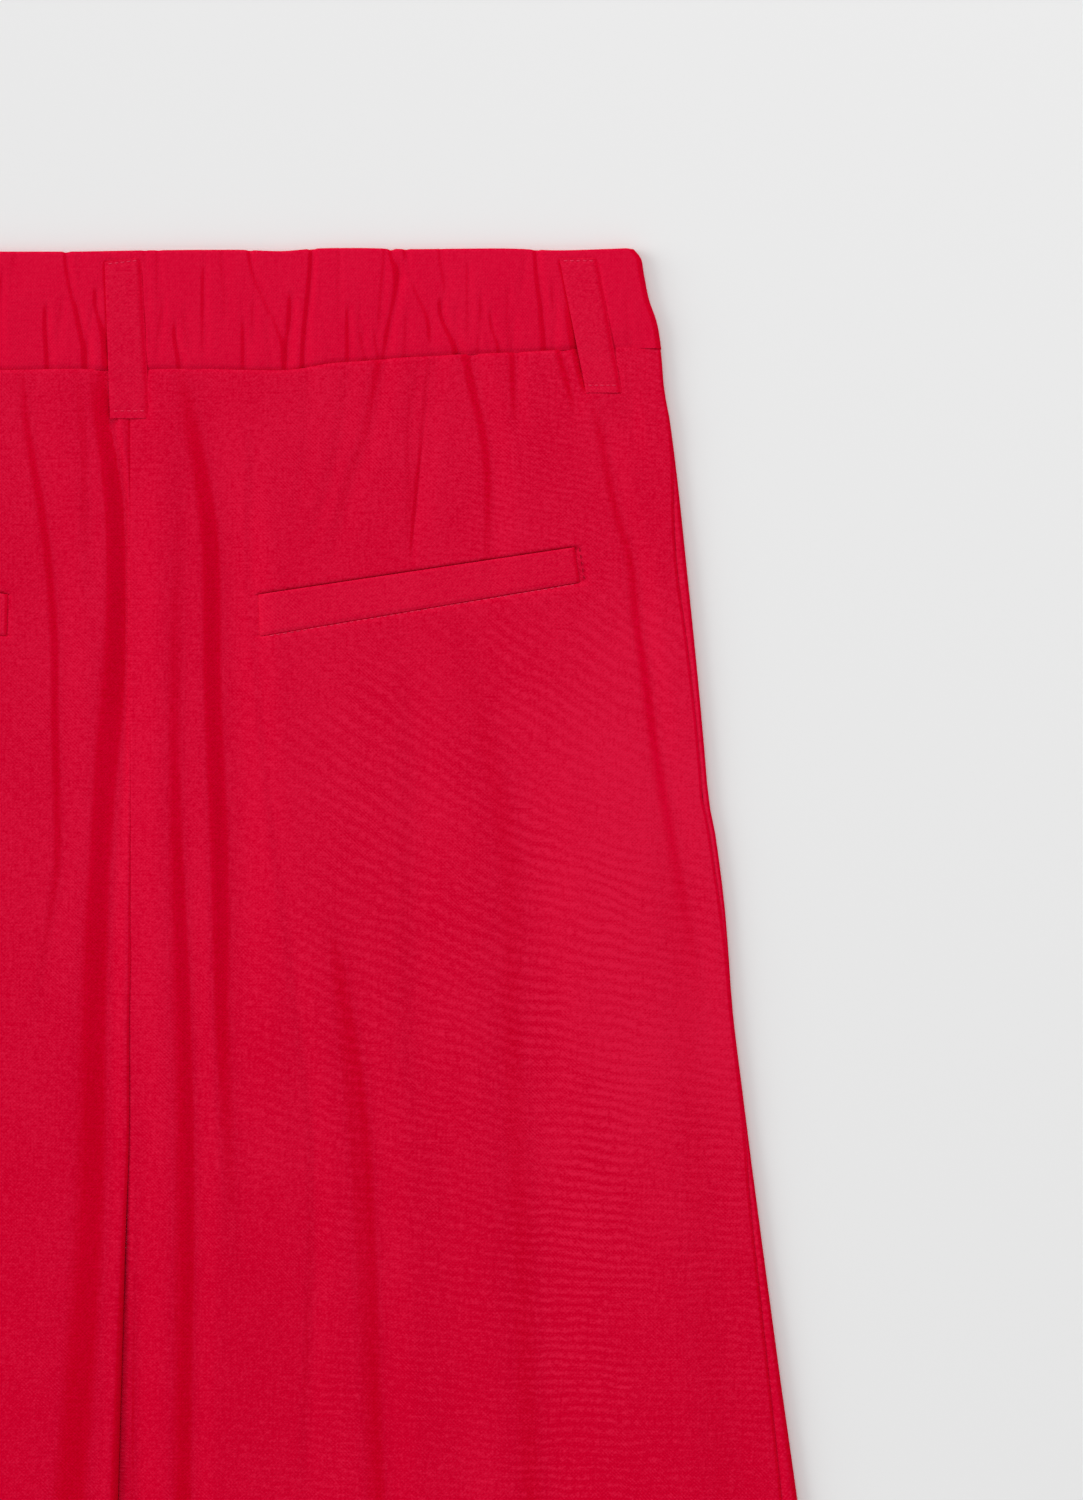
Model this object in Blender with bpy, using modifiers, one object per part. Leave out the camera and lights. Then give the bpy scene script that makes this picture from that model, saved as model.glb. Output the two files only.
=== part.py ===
"""Palazzo pants of crimson linen, laid flat with the back up.

The garment is built as it is cut and sewn: two backs, two fronts, a gathered
back waistband, a plain front waistband, three belt loops and two welts. Each
cloth piece is a wall on a middle surface that runs through cross-sections.

Sizes are in millimetres, and MM turns them into Blender's metres. Depth is
measured down from the top of the waistband, and "out" is the distance from
the centre line towards a side. +X is the wearer's right, +Y points up to the
waist, and z = 0 is the surface that the garment lies on.
"""

import math
from typing import NamedTuple

import bmesh
import bpy
import numpy as np

MM = 0.001

LENGTH = 1050.0
SEAM_GAP = 0.3
# On a roll the gap is set on the middle surface, where the walls' ends aren't quite square to it.
ROLL_SEAM_GAP = 0.44
PANEL_WALL = 1.2
FRONT_BAND_WALL = 1.8
BACK_BAND_WALL = 2.0
TRIM_WALL = 1.2

# Side edge: half of the laid-out width at each depth.
SIDE_EDGE = (
    (0, 188.5), (3, 191), (8, 192), (19, 194.4), (27, 197), (38, 198.8), (60, 201.5),
    (80, 204), (110, 207.3), (168, 213.3), (214, 218.3), (244, 222.3), (319, 229.8),
    (394, 239.6), (469, 250), (735, 287.5), (1050, 331.5),
)
# Depth of the seam below the waistband, by distance out from the centre.
WAIST_SEAM = (
    (0, 45.2), (63, 44.6), (74, 43), (90, 41.3), (120, 39.4), (161, 37.5), (186, 36.4), (200, 37.2),
)
FRONT_WAIST_SEAM = ((0, 43), (200, 37.2))
# How far the side seam has rolled from the side edge on to the back.
SIDE_SEAM_INSET = (
    (37, 0), (60, 0.3), (80, 1.3), (104, 3.3), (121, 3.8), (146, 3), (176, 2.4), (236, 2.2), (282, 0.8),
    (326, 1.2), (356, 2.6), (394, 3.6), (431, 4.7), (469, 6), (588, 8.4), (788, 5), (1050, 3),
)
HEM_RISE_AT_SIDE = 10.0

# The side edge is a half-round roll of this middle radius.
SIDE_ROLL = 1.5
FRONT_HEIGHT = PANEL_WALL / 2
SIDE_HEIGHT = FRONT_HEIGHT + 2 * SIDE_ROLL
CROWN = 0.9
LOWEST_BACK = PANEL_WALL + SEAM_GAP + PANEL_WALL / 2 + 0.05
CLAMP_SOFTNESS = 0.25

# The centre seams curl down into the gap between the legs.
CURL_START = 262.0
CROTCH = 353.0
CENTRE_VALLEY_WIDTH = 6.0
CENTRE_VALLEY = ((45, -0.3), (86, -0.8), (262, -0.8), (353, 0), (1050, 0))
CALM_AT_SEAM = 3.0
CALM_AT_SIDE = (2.5, 8.0)

BAND_FRONT_HEIGHT = FRONT_BAND_WALL / 2
BAND_BACK_HEIGHT = 3.9
BAND_ROLL = (BAND_BACK_HEIGHT - BAND_FRONT_HEIGHT) / 2
GATHER_FADE = 5.0
GATHER_HALF_WIDTH = 3.2

ROW_DEPTHS = (
    45, 54, 66, 82, 102, 126, 154, 184, 216, 250, 284, 316, 350, 384,
    426, 480, 560, 660, 780, 915, 1050,
)
# Columns round a roll stand closest beside its seam, so that both walls end square to it.
ROLL_SPAN = 2.6
ROLL_STEPS = (0.0, 0.12, 0.5, 1.0)
WRAP_STEPS = (0.0, 0.27, 0.54, 0.8, 1.0)
WRAP_BEND = 0.8
CENTRE_SPAN = 0.36
CENTRE_COLUMNS = 20
OUTER_COLUMNS = 15
FRONT_COLUMNS = 4
BAND_COLUMNS = 140
FRONT_BAND_COLUMNS = 24
BAND_ROWS = (0.0, 0.15, 0.6, 1.0)
BAND_ROLL_STEPS = (0.0, 0.12, 0.55)

LOOP_ROWS = 9
LOOP_ARCH = 0.9
WELT_COLUMNS = 16
NEIGHBOURHOOD = (-2.5, 0.0, 2.5)

LINEN = (0.610, 0.0037, 0.0319, 1.0)
LINEN_BAND = (0.600, 0.0030, 0.0280, 1.0)


class Fold(NamedTuple):
    """A ridge, or a trough where its height is negative, that runs down a leg's back."""

    path: tuple  # (depth, out) stations
    inward: float  # width of the flank towards the centre
    outward: float  # width of the flank towards the side
    height: tuple  # (depth, height) stations


class Gather(NamedTuple):
    """A crease of the elastic waistband, from its upper end to its lower end."""

    x_upper: float
    depth_upper: float
    x_lower: float
    depth_lower: float
    sink: float


class Loop(NamedTuple):
    """A belt loop: the middle and the width of its two ends."""

    name: str
    x_top: float
    depth_top: float
    width_top: float
    x_bottom: float
    depth_bottom: float
    width_bottom: float


class Leg(NamedTuple):
    """What differs between the two legs."""

    name: str
    sign: int
    inner_edge: tuple  # (depth, out) of the edge beside the other leg
    inner_height: tuple  # (depth, height) of the back's middle surface beside that edge
    folds: tuple
    welt_shift: float


# Folds that both backs have, outside the strip beside the centre seam.
THIGH_RIDGE = Fold(
    path=((270, 76), (319, 82), (356, 84), (431, 85), (461, 87), (735, 104), (1050, 126)),
    inward=18, outward=9, height=((240, 0), (319, 1.3), (461, 1.7), (1050, 2.4)),
)
THIGH_TROUGH = Fold(
    path=((270, 88), (319, 90), (356, 96), (394, 99), (461, 104), (735, 122), (1050, 147)),
    inward=8, outward=15, height=((240, 0), (319, -1), (461, -1.3), (1050, -1.6)),
)
HIP_TROUGH = Fold(
    path=((150, 106), (206, 108), (282, 112), (340, 116)),
    inward=12, outward=12, height=((150, 0), (206, -0.8), (282, -0.8), (340, 0)),
)
HIP_RIDGE = Fold(
    path=((140, 118), (206, 127), (319, 128), (356, 135), (461, 141), (735, 165), (1050, 196)),
    inward=20, outward=18, height=((140, 0), (206, 1.4), (461, 1.6), (1050, 2.6)),
)
HIP_SIDE_TROUGH = Fold(
    path=((110, 138), (153, 143), (206, 157), (319, 161), (431, 163), (461, 170), (735, 198), (1050, 232)),
    inward=16, outward=18, height=((110, 0), (176, -1.2), (461, -1.4), (1050, -2)),
)
SIDE_RIDGE = Fold(
    path=((50, 160), (86, 174), (131, 179), (206, 192), (319, 196), (356, 202), (461, 205), (735, 238), (1050, 277)),
    inward=18, outward=12, height=((50, 0), (86, 0.8), (206, 1.2), (461, 1.2), (1050, 2.2)),
)
SIDE_TROUGH = Fold(
    path=((64, 187), (109, 191), (153, 199), (206, 207), (282, 214), (319, 218), (394, 226), (461, 234), (600, 250)),
    inward=10, outward=8, height=((50, 0), (109, -0.8), (282, -0.9), (461, -0.7), (600, 0)),
)
SHARED_FOLDS = (
    THIGH_RIDGE, THIGH_TROUGH, HIP_TROUGH, HIP_RIDGE, HIP_SIDE_TROUGH, SIDE_RIDGE, SIDE_TROUGH,
)

# Gathers that the elastic throws into a back below the waist seam.
WAIST_GATHERS = (
    Fold(((43, 66), (90, 58)), 5, 5, ((43, -0.8), (70, -0.6), (100, 0))),
    Fold(((43, 80), (85, 70)), 5, 5, ((43, 0.6), (60, 0.5), (90, 0))),
    Fold(((41, 92), (78, 80), (115, 66)), 5, 6, ((41, -0.9), (80, -0.6), (115, 0))),
    Fold(((40, 110), (80, 106)), 6, 6, ((40, 0.6), (65, 0.4), (90, 0))),
    Fold(((39, 128), (80, 134), (112, 139)), 6, 5, ((39, -1), (80, -0.8), (112, 0))),
    Fold(((38, 144), (75, 147)), 5, 5, ((38, -0.7), (60, -0.4), (80, 0))),
    Fold(((50, 177), (86, 181), (112, 184)), 5, 5, ((50, 0), (75, -0.6), (112, 0))),
)

RIGHT_FOLDS = (
    # Broad ridge along the centre seam and then along the leg's inner edge.
    Fold(
        path=((45, 20), (86, 21), (108, 22), (131, 19), (153, 14), (206, 14), (282, 17),
              (318, 18), (394, 17), (461, 16), (735, 20), (1050, 30)),
        inward=14.5, outward=7, height=((45, 0.3), (86, 1), (131, 1.6), (206, 2.4), (353, 3), (1050, 3)),
    ),
    Fold(((176, 25), (206, 27), (353, 34)), 4, 6, ((176, 0), (230, 0.9), (353, 0.9), (420, 0))),
    # Deep trough beside it, from a gather at the waist to mid thigh.
    Fold(
        path=((45, 24), (64, 28), (86, 35), (153, 36), (206, 39), (282, 44), (353, 49), (469, 55)),
        inward=9, outward=6, height=((45, -0.6), (86, -1.5), (153, -2), (282, -2), (353, -1.2), (469, 0)),
    ),
    Fold(((108, 41), (153, 45), (206, 50), (282, 57), (353, 64)), 6, 5,
         ((100, 0), (153, 0.9), (282, 1.3), (353, 0.9), (400, 0))),
    Fold(((108, 46), (153, 50), (206, 55), (282, 64), (353, 69)), 4, 6,
         ((90, 0), (131, -0.7), (282, -0.9), (353, -0.6), (400, 0))),
)

LEFT_FOLDS = (
    # Trough along the inner edge, which leaves that edge standing as a narrow roll.
    Fold(
        path=((130, 1), (176, 3), (206, 5.7), (244, 7.5), (319, 8.5), (356, 9.5), (394, 12),
              (461, 16), (735, 26), (1050, 34)),
        inward=5, outward=13, height=((130, 0), (176, -0.8), (244, -1.6), (356, -2.6), (461, -2.7), (1050, -2.3)),
    ),
    Fold(((45, 24), (86, 18), (131, 18), (165, 13), (190, 12)), 9, 9,
         ((45, 0.5), (86, 1.3), (150, 1), (190, 0))),
    Fold(
        path=((140, 32), (206, 34), (244, 35), (282, 30), (319, 25), (394, 27), (461, 31), (735, 46), (1050, 62)),
        inward=13, outward=15, height=((140, 0), (176, 1.6), (244, 2), (461, 2.4), (1050, 2.6)),
    ),
    Fold(((48, 39), (61, 38), (111, 32), (150, 30), (180, 28), (219, 30)), 5, 5,
         ((48, -0.4), (80, -1), (180, -1), (230, 0))),
    Fold(((153, 48), (206, 52), (282, 58), (353, 62), (430, 66)), 8, 6,
         ((130, 0), (176, -1), (282, -1.4), (353, -1), (430, 0))),
)

GATHERS = (
    Gather(-153, 2, -156, 35, 0.7),
    Gather(-134, 20, -139, 37, 0.6),
    Gather(-118, 4, -121, 38, 0.8),
    Gather(-103, 18, -99, 39, 0.6),
    Gather(-88, 2, -92, 40, 0.8),
    Gather(-76, 24, -77, 42, 0.6),
    Gather(-66, 3, -61, 43, 0.8),
    Gather(-48, 12, -50, 43, 0.6),
    Gather(-33, 28, -31, 43.5, 0.6),
    Gather(-23, 2, -16.5, 43, 0.7),
    Gather(16.5, 28, 18.4, 43, 0.6),
    Gather(28, 10, 28, 34, 0.5),
    Gather(43, 29, 43, 43, 0.6),
    Gather(46, 2, 58, 41, 0.7),
    Gather(68, 3, 65, 42, 0.9),
    Gather(81.4, 26, 82, 41, 0.6),
    Gather(101, 3, 97, 40, 0.9),
    Gather(105, 10, 110, 28, 0.6),
    Gather(117, 20, 122, 39, 0.9),
    Gather(135.8, 24, 139, 38, 0.7),
    Gather(145, 25, 145, 38, 0.5),
    Gather(153.4, 2, 156, 37, 0.7),
)

LOOPS = (
    Loop("belt_loop_back", -2.75, 3.6, 13.4, -0.4, 63, 13.4),
    Loop("belt_loop_side_right", 168.3, 4, 14.6, 177.6, 53.6, 13.2),
    Loop("belt_loop_side_left", -168.3, 4, 14.6, -177.6, 53.6, 13.2),
)

# Corners of the right welt, as (out, depth).
WELT_TOP_INNER = (48.2, 129.2)
WELT_TOP_OUTER = (166.7, 111.5)
WELT_BOTTOM_INNER = (48.7, 144.8)
WELT_BOTTOM_OUTER = (168.7, 124.6)

RIGHT_LEG = Leg(
    name="right",
    sign=1,
    inner_edge=((45, 0.15), (290, 0.15), (319, -0.15), (353, -0.9), (394, -1.9), (461, -3.8), (546, -5.2),
                (735, -3), (1050, 5)),
    inner_height=((45, 4), (262, 4), (353, 3.6), (1050, 3.6)),
    folds=RIGHT_FOLDS + SHARED_FOLDS + WAIST_GATHERS,
    welt_shift=0.0,
)
LEFT_LEG = Leg(
    name="left",
    sign=-1,
    inner_edge=((45, 0.15), (290, 0.15), (319, 0.55), (353, 1.3), (394, 2.3), (461, 4.4), (546, 7.6),
                (735, 13), (1050, 20)),
    inner_height=((45, 4), (262, 4), (353, 5.2), (1050, 5)),
    folds=LEFT_FOLDS + SHARED_FOLDS + WAIST_GATHERS,
    welt_shift=-2.5,
)


def along(stations, at):
    """Read a smooth curve through (place, value) stations at the given places."""
    places, values = np.array(stations, dtype=float).T
    slopes = np.diff(values) / np.diff(places)
    inner = np.where(slopes[:-1] * slopes[1:] > 0, (slopes[:-1] + slopes[1:]) / 2, 0.0)
    tangents = np.concatenate([slopes[:1], inner, slopes[-1:]])
    at = np.clip(at, places[0], places[-1])
    k = np.clip(np.searchsorted(places, at, side="right") - 1, 0, len(places) - 2)
    step = places[k + 1] - places[k]
    t = (at - places[k]) / step
    start = (1 + 2 * t) * (1 - t) ** 2 * values[k] + t * (1 - t) ** 2 * step * tangents[k]
    end = t**2 * (3 - 2 * t) * values[k + 1] + t**2 * (t - 1) * step * tangents[k + 1]
    return start + end


def ease(t):
    """Rise smoothly from 0 at t = 0 to 1 at t = 1."""
    t = np.clip(t, 0.0, 1.0)
    return t * t * (3 - 2 * t)


def bump(t):
    """A rounded hump that is 1 at t = 0 and 0 from |t| = 1 on."""
    return np.cos(np.clip(t, -1.0, 1.0) * math.pi / 2) ** 2


def fold_relief(folds, out, depth):
    """Add up the folds' heights."""
    total = np.zeros(np.shape(out))
    for fold in folds:
        offset = out - along(fold.path, depth)
        flank = np.where(offset < 0, fold.inward, fold.outward)
        total += along(fold.height, depth) * bump(offset / flank)
    return total


def back_height(leg, out, depth):
    """Middle height of a back panel, where it isn't part of a roll."""
    edge = along(SIDE_EDGE, depth)
    across = np.clip(out / edge, 0.0, 1.0)
    inner = along(leg.inner_height, depth)
    base = inner + (SIDE_HEIGHT - inner) * ease(across) + CROWN * np.sin(math.pi * across)
    from_seam = edge - out - along(SIDE_SEAM_INSET, depth)
    nearest, free = CALM_AT_SIDE
    calm = ease(out / CALM_AT_SEAM) * ease((from_seam - nearest) / (free - nearest))
    valley = along(CENTRE_VALLEY, depth) * bump(out / CENTRE_VALLEY_WIDTH)
    height = base + valley + calm * fold_relief(leg.folds, out, depth)
    spare = (height - LOWEST_BACK) / CLAMP_SOFTNESS
    return LOWEST_BACK + CLAMP_SOFTNESS * np.logaddexp(0.0, spare)


def band_height(x, depth):
    """Middle height of the back waistband between its side rolls."""
    height = np.full(np.shape(x), BAND_BACK_HEIGHT)
    for gather in GATHERS:
        run = (depth - gather.depth_upper) / (gather.depth_lower - gather.depth_upper)
        middle = gather.x_upper + (gather.x_lower - gather.x_upper) * np.clip(run, 0, 1)
        fade = ease((depth - gather.depth_upper) / GATHER_FADE + 1)
        height = height - gather.sink * fade * bump((x - middle) / GATHER_HALF_WIDTH)
    return height


class Section:
    """The rolls of a leg's cross-section at an array of depths."""

    def __init__(self, leg, depth):
        turn = math.pi / 2 * ease((depth - CURL_START) / (CROTCH - CURL_START))
        self.leg = leg
        self.depth = depth
        self.inner_top = along(leg.inner_height, depth)
        self.inner_roll = (self.inner_top - FRONT_HEIGHT) / 2
        self.inner_turn = turn * (1 - ROLL_SEAM_GAP / (math.pi * self.inner_roll))
        self.inner_centre = along(leg.inner_edge, depth) + (self.inner_roll + PANEL_WALL / 2) * np.sin(turn)
        self.side_centre = along(SIDE_EDGE, depth) - PANEL_WALL / 2 - SIDE_ROLL
        self.flat = self.side_centre - self.inner_centre
        inset = along(SIDE_SEAM_INSET, depth)
        outside = SIDE_ROLL + PANEL_WALL / 2
        on_roll = SIDE_ROLL * np.arccos(np.clip(1 - inset / outside, 0, 1))
        past_roll = SIDE_ROLL * math.pi / 2 + inset - outside
        self.seam_run = np.where(inset < outside, on_roll, past_roll)

    def inner_runs(self):
        """Runs of the columns round the roll at the inner edge."""
        span = np.maximum(self.inner_roll * self.inner_turn, ROLL_SPAN)
        return span * np.array(ROLL_STEPS)

    def back_runs(self, middle):
        """Runs of a back panel's columns, from its inner edge to the side seam."""
        side = SIDE_ROLL * math.pi / 2 - self.seam_run - ROLL_SEAM_GAP / 2
        whole = self.inner_roll * self.inner_turn + self.flat + side
        inner = self.inner_runs()
        outer = whole - ROLL_SPAN * np.array(ROLL_STEPS[::-1])
        between = inner[:, -1:] + (outer[:, :1] - inner[:, -1:]) * middle
        return np.concatenate([inner, between, outer], axis=1)

    def front_runs(self, middle):
        """Runs of a front panel's columns, which wrap up round the side edge to the side seam."""
        side = SIDE_ROLL * math.pi / 2 + self.seam_run - ROLL_SEAM_GAP / 2
        flat_end = self.inner_roll * self.inner_turn + self.flat
        inner = self.inner_runs()
        bend = np.minimum(WRAP_BEND, math.pi * SIDE_ROLL / side)
        wrap = np.array(WRAP_STEPS)
        steps = np.where(wrap < WRAP_BEND, wrap / WRAP_BEND * bend,
                         bend + (1 - bend) * (wrap - WRAP_BEND) / (1 - WRAP_BEND))
        between = inner[:, -1:] + (flat_end - inner[:, -1:]) * middle
        return np.concatenate([inner, between, flat_end + side * steps], axis=1)

    def back(self, run):
        """(out, height) of the back panel's middle surface at a run from its inner edge."""
        past = run - self.inner_roll * self.inner_turn
        inner = np.clip(-past / self.inner_roll, 0, None)
        outer = np.clip((past - self.flat) / SIDE_ROLL, 0, None)
        out = self.inner_centre + np.clip(past, 0, self.flat)
        height = back_height(self.leg, out, self.depth)
        out = out - self.inner_roll * np.sin(inner) + SIDE_ROLL * np.sin(outer)
        drop = self.inner_roll * (1 - np.cos(inner)) + SIDE_ROLL * (1 - np.cos(outer))
        return out, height - drop

    def front(self, run):
        """(out, height) of the front panel's middle surface, which lies on the ground."""
        past = run - self.inner_roll * self.inner_turn
        inner = np.clip(-past / self.inner_roll, 0, None)
        outer = np.clip((past - self.flat) / SIDE_ROLL, 0, math.pi)
        over = np.clip(past - self.flat - math.pi * SIDE_ROLL, 0, None)
        out = self.inner_centre + np.clip(past, 0, self.flat)
        out = out - self.inner_roll * np.sin(inner) + SIDE_ROLL * np.sin(outer) - over
        rise = self.inner_roll * (1 - np.cos(inner)) + SIDE_ROLL * (1 - np.cos(outer))
        return out, FRONT_HEIGHT + rise


def world(x, depth, height):
    """Join the three co-ordinates into points in metres."""
    points = np.stack(np.broadcast_arrays(x, LENGTH / 2 - depth, height), axis=-1)
    return points * MM


def linen(name, colour):
    """A matt linen material."""
    material = bpy.data.materials.new(name)
    material.use_nodes = True
    shader = material.node_tree.nodes["Principled BSDF"]
    shader.inputs["Base Color"].default_value = colour
    shader.inputs["Roughness"].default_value = 0.85
    shader.inputs["Metallic"].default_value = 0.0
    return material


def cloth_piece(name, points, wall, material, collection):
    """Bend a grid on to rows of points and give it a wall around that middle surface."""
    rows, columns = points.shape[:2]
    mesh = bpy.data.meshes.new(name)
    grid = bmesh.new()
    bmesh.ops.create_grid(grid, x_segments=columns - 1, y_segments=rows - 1, size=1.0)
    for vertex in grid.verts:
        column = round((vertex.co.x + 1) / 2 * (columns - 1))
        row = round((vertex.co.y + 1) / 2 * (rows - 1))
        vertex.co = points[row, column]
    grid.to_mesh(mesh)
    grid.free()
    mesh.materials.append(material)
    mesh.shade_smooth()
    piece = bpy.data.objects.new(name, mesh)
    collection.objects.link(piece)
    solidify = piece.modifiers.new("wall", "SOLIDIFY")
    solidify.thickness = wall * MM
    solidify.offset = 0.0
    solidify.use_even_offset = True
    return piece


def row_depths(waist_seam, across, depth):
    """Depths of a panel's rows, which lean from the waist seam's line to the hem's."""
    out = across * along(SIDE_EDGE, depth)
    top = along(waist_seam, out) + SEAM_GAP / 2
    hem = LENGTH - HEM_RISE_AT_SIDE * across**2
    first, last = ROW_DEPTHS[0], ROW_DEPTHS[-1]
    return top + (hem - top) * (depth - first) / (last - first)


def panel_points(leg, waist_seam, runs, place, middle, outer_steps):
    """Rows of points across a panel, through its rolls and the given middle columns."""
    across = np.concatenate([np.zeros(len(ROLL_STEPS)), middle, np.ones(len(outer_steps))])
    depth = row_depths(waist_seam, across[None, :], np.array(ROW_DEPTHS, dtype=float)[:, None])
    out, height = np.empty(depth.shape), np.empty(depth.shape)
    for column in range(len(across)):
        section = Section(leg, depth[:, column:column + 1])
        run = runs(section, middle)[:, column:column + 1]
        out[:, column:column + 1], height[:, column:column + 1] = place(section, run)
    points = world(leg.sign * out, depth, height)
    return points if leg.sign > 0 else points[:, ::-1]


def back_panel(leg, material, collection):
    """One leg's back, with the folds and gathers that the upper side shows."""
    near = np.linspace(0, CENTRE_SPAN, CENTRE_COLUMNS + 1)[1:]
    far = np.linspace(CENTRE_SPAN, 1, OUTER_COLUMNS + 1)[1:-1]
    middle = np.concatenate([near, far])
    points = panel_points(leg, WAIST_SEAM, Section.back_runs, Section.back, middle, ROLL_STEPS)
    cloth_piece(f"back_{leg.name}", points, PANEL_WALL, material, collection)


def front_panel(leg, material, collection):
    """One leg's front, flat on the ground, with its edges rolled up to the back's."""
    middle = np.linspace(0, 1, FRONT_COLUMNS + 2)[1:-1]
    points = panel_points(leg, FRONT_WAIST_SEAM, Section.front_runs, Section.front, middle, WRAP_STEPS)
    cloth_piece(f"front_{leg.name}", points[:, ::-1], PANEL_WALL, material, collection)


def band_points(wall, waist_seam, columns, place):
    """Rows of points across half of the waistband, from side seam to side seam."""
    down = np.array(BAND_ROWS)[:, None]
    roll = BAND_ROLL * math.pi / 2
    rolled = np.array(BAND_ROLL_STEPS)[None, :] * roll + ROLL_SEAM_GAP / 2
    flat = np.linspace(-1, 1, columns + 1)[None, :]
    edge = along(SIDE_EDGE, down * WAIST_SEAM[-1][1]) - wall / 2 - BAND_ROLL
    x = np.concatenate([0 * rolled - edge, flat * edge, 0 * rolled + edge], axis=1)
    turn = np.concatenate([(roll - rolled), 0 * flat, (roll - rolled)[:, ::-1]], axis=1) / BAND_ROLL
    depth = down * (along(waist_seam, abs(x) + BAND_ROLL * np.sin(turn)) - SEAM_GAP / 2)
    x, height = place(x, depth, turn)
    return world(x, depth, height)


def back_band_place(x, depth, turn):
    """(x, height) on the back waistband's middle surface."""
    calm = ease((abs(along(SIDE_EDGE, depth)) - abs(x) - 4) / 10)
    height = BAND_BACK_HEIGHT + calm * (band_height(x, depth) - BAND_BACK_HEIGHT)
    height = height - BAND_ROLL * (1 - np.cos(turn))
    return x + np.sign(x) * BAND_ROLL * np.sin(turn), height


def front_band_place(x, depth, turn):
    """(x, height) on the front waistband's middle surface."""
    height = BAND_FRONT_HEIGHT + BAND_ROLL * (1 - np.cos(turn))
    return x + np.sign(x) * BAND_ROLL * np.sin(turn), height


def waistband(material, collection):
    """The gathered back half and the plain front half of the waistband."""
    back = band_points(BACK_BAND_WALL, WAIST_SEAM, BAND_COLUMNS, back_band_place)
    cloth_piece("waistband_back", back, BACK_BAND_WALL, material, collection)
    front = band_points(FRONT_BAND_WALL, FRONT_WAIST_SEAM, FRONT_BAND_COLUMNS, front_band_place)
    cloth_piece("waistband_front", front[:, ::-1], FRONT_BAND_WALL, material, collection)


def top_of_cloth(x, depth):
    """Height of the outer face of the back, which loops and welts are laid on."""
    on_panel = np.where(
        x < 0, back_height(LEFT_LEG, -x, depth), back_height(RIGHT_LEG, x, depth)
    )
    on_band = band_height(x, depth) + BACK_BAND_WALL / 2
    seam = along(WAIST_SEAM, abs(x))
    return np.where(depth < seam, on_band, on_panel + PANEL_WALL / 2)


def laid_on_cloth(x, depth):
    """Middle height of a trim wall that clears the cloth around each point."""
    around = [
        top_of_cloth(x + dx, depth + dy) for dx in NEIGHBOURHOOD for dy in NEIGHBOURHOOD
    ]
    return np.max(around, axis=0) + SEAM_GAP + TRIM_WALL / 2


def belt_loop(loop, material, collection):
    """A flat strip over the waistband, arched a little off it between its stitched ends."""
    down = np.linspace(0, 1, LOOP_ROWS)[:, None]
    across = np.array([-0.5, -0.17, 0.17, 0.5])[None, :]
    width = loop.width_top + (loop.width_bottom - loop.width_top) * down
    x = loop.x_top + (loop.x_bottom - loop.x_top) * down + across * width
    depth = loop.depth_top + (loop.depth_bottom - loop.depth_top) * down + 0 * across
    height = laid_on_cloth(x, depth) + LOOP_ARCH * np.sin(math.pi * down) ** 2
    cloth_piece(loop.name, world(x, depth, height), TRIM_WALL, material, collection)


def pocket_welt(leg, material, collection):
    """The folded strip of a single-welt pocket."""
    corners = [WELT_TOP_INNER, WELT_TOP_OUTER, WELT_BOTTOM_INNER, WELT_BOTTOM_OUTER]
    top_inner, top_outer, bottom_inner, bottom_outer = np.array(corners, dtype=float)
    run = np.linspace(0, 1, WELT_COLUMNS)[None, :, None]
    down = np.linspace(0, 1, 3)[:, None, None]
    top = top_inner + (top_outer - top_inner) * run
    bottom = bottom_inner + (bottom_outer - bottom_inner) * run
    place = top + (bottom - top) * down
    x = leg.sign * (place[..., 0] + leg.welt_shift)
    points = world(x, place[..., 1], laid_on_cloth(x, place[..., 1]))
    points = points if leg.sign > 0 else points[:, ::-1]
    cloth_piece(f"pocket_welt_{leg.name}", points, TRIM_WALL, material, collection)


def main():
    """Clear the scene and sew the garment together."""
    for item in list(bpy.data.objects):
        bpy.data.objects.remove(item)
    collection = bpy.data.collections.new("palazzo_pants")
    bpy.context.scene.collection.children.link(collection)
    panels = linen("linen_panels", LINEN)
    band = linen("linen_waistband", LINEN_BAND)
    trim = linen("linen_trim", LINEN)
    for leg in (RIGHT_LEG, LEFT_LEG):
        back_panel(leg, panels, collection)
        front_panel(leg, panels, collection)
        pocket_welt(leg, trim, collection)
    waistband(band, collection)
    for loop in LOOPS:
        belt_loop(loop, trim, collection)


main()
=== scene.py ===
"""Palazzo pants of crimson linen, laid flat with the back up, dressed for a photograph.

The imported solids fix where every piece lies. Each cloth piece is made again here as a thin shell on
its solid's form, with finer folds, gathers, seams and stitches, and it stands for that solid.

Tables are in millimetres, and MM turns them into Blender's metres. Depth is measured down from the
top of the waistband, and "out" is the distance from the centre line towards a side. +X is the
wearer's right, +Y points up to the waist, and z = 0 is the surface that the garment lies on.
"""

import logging
import math
from dataclasses import dataclass
from enum import Enum

import bpy
import numpy as np
from mathutils import Matrix, Vector

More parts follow.
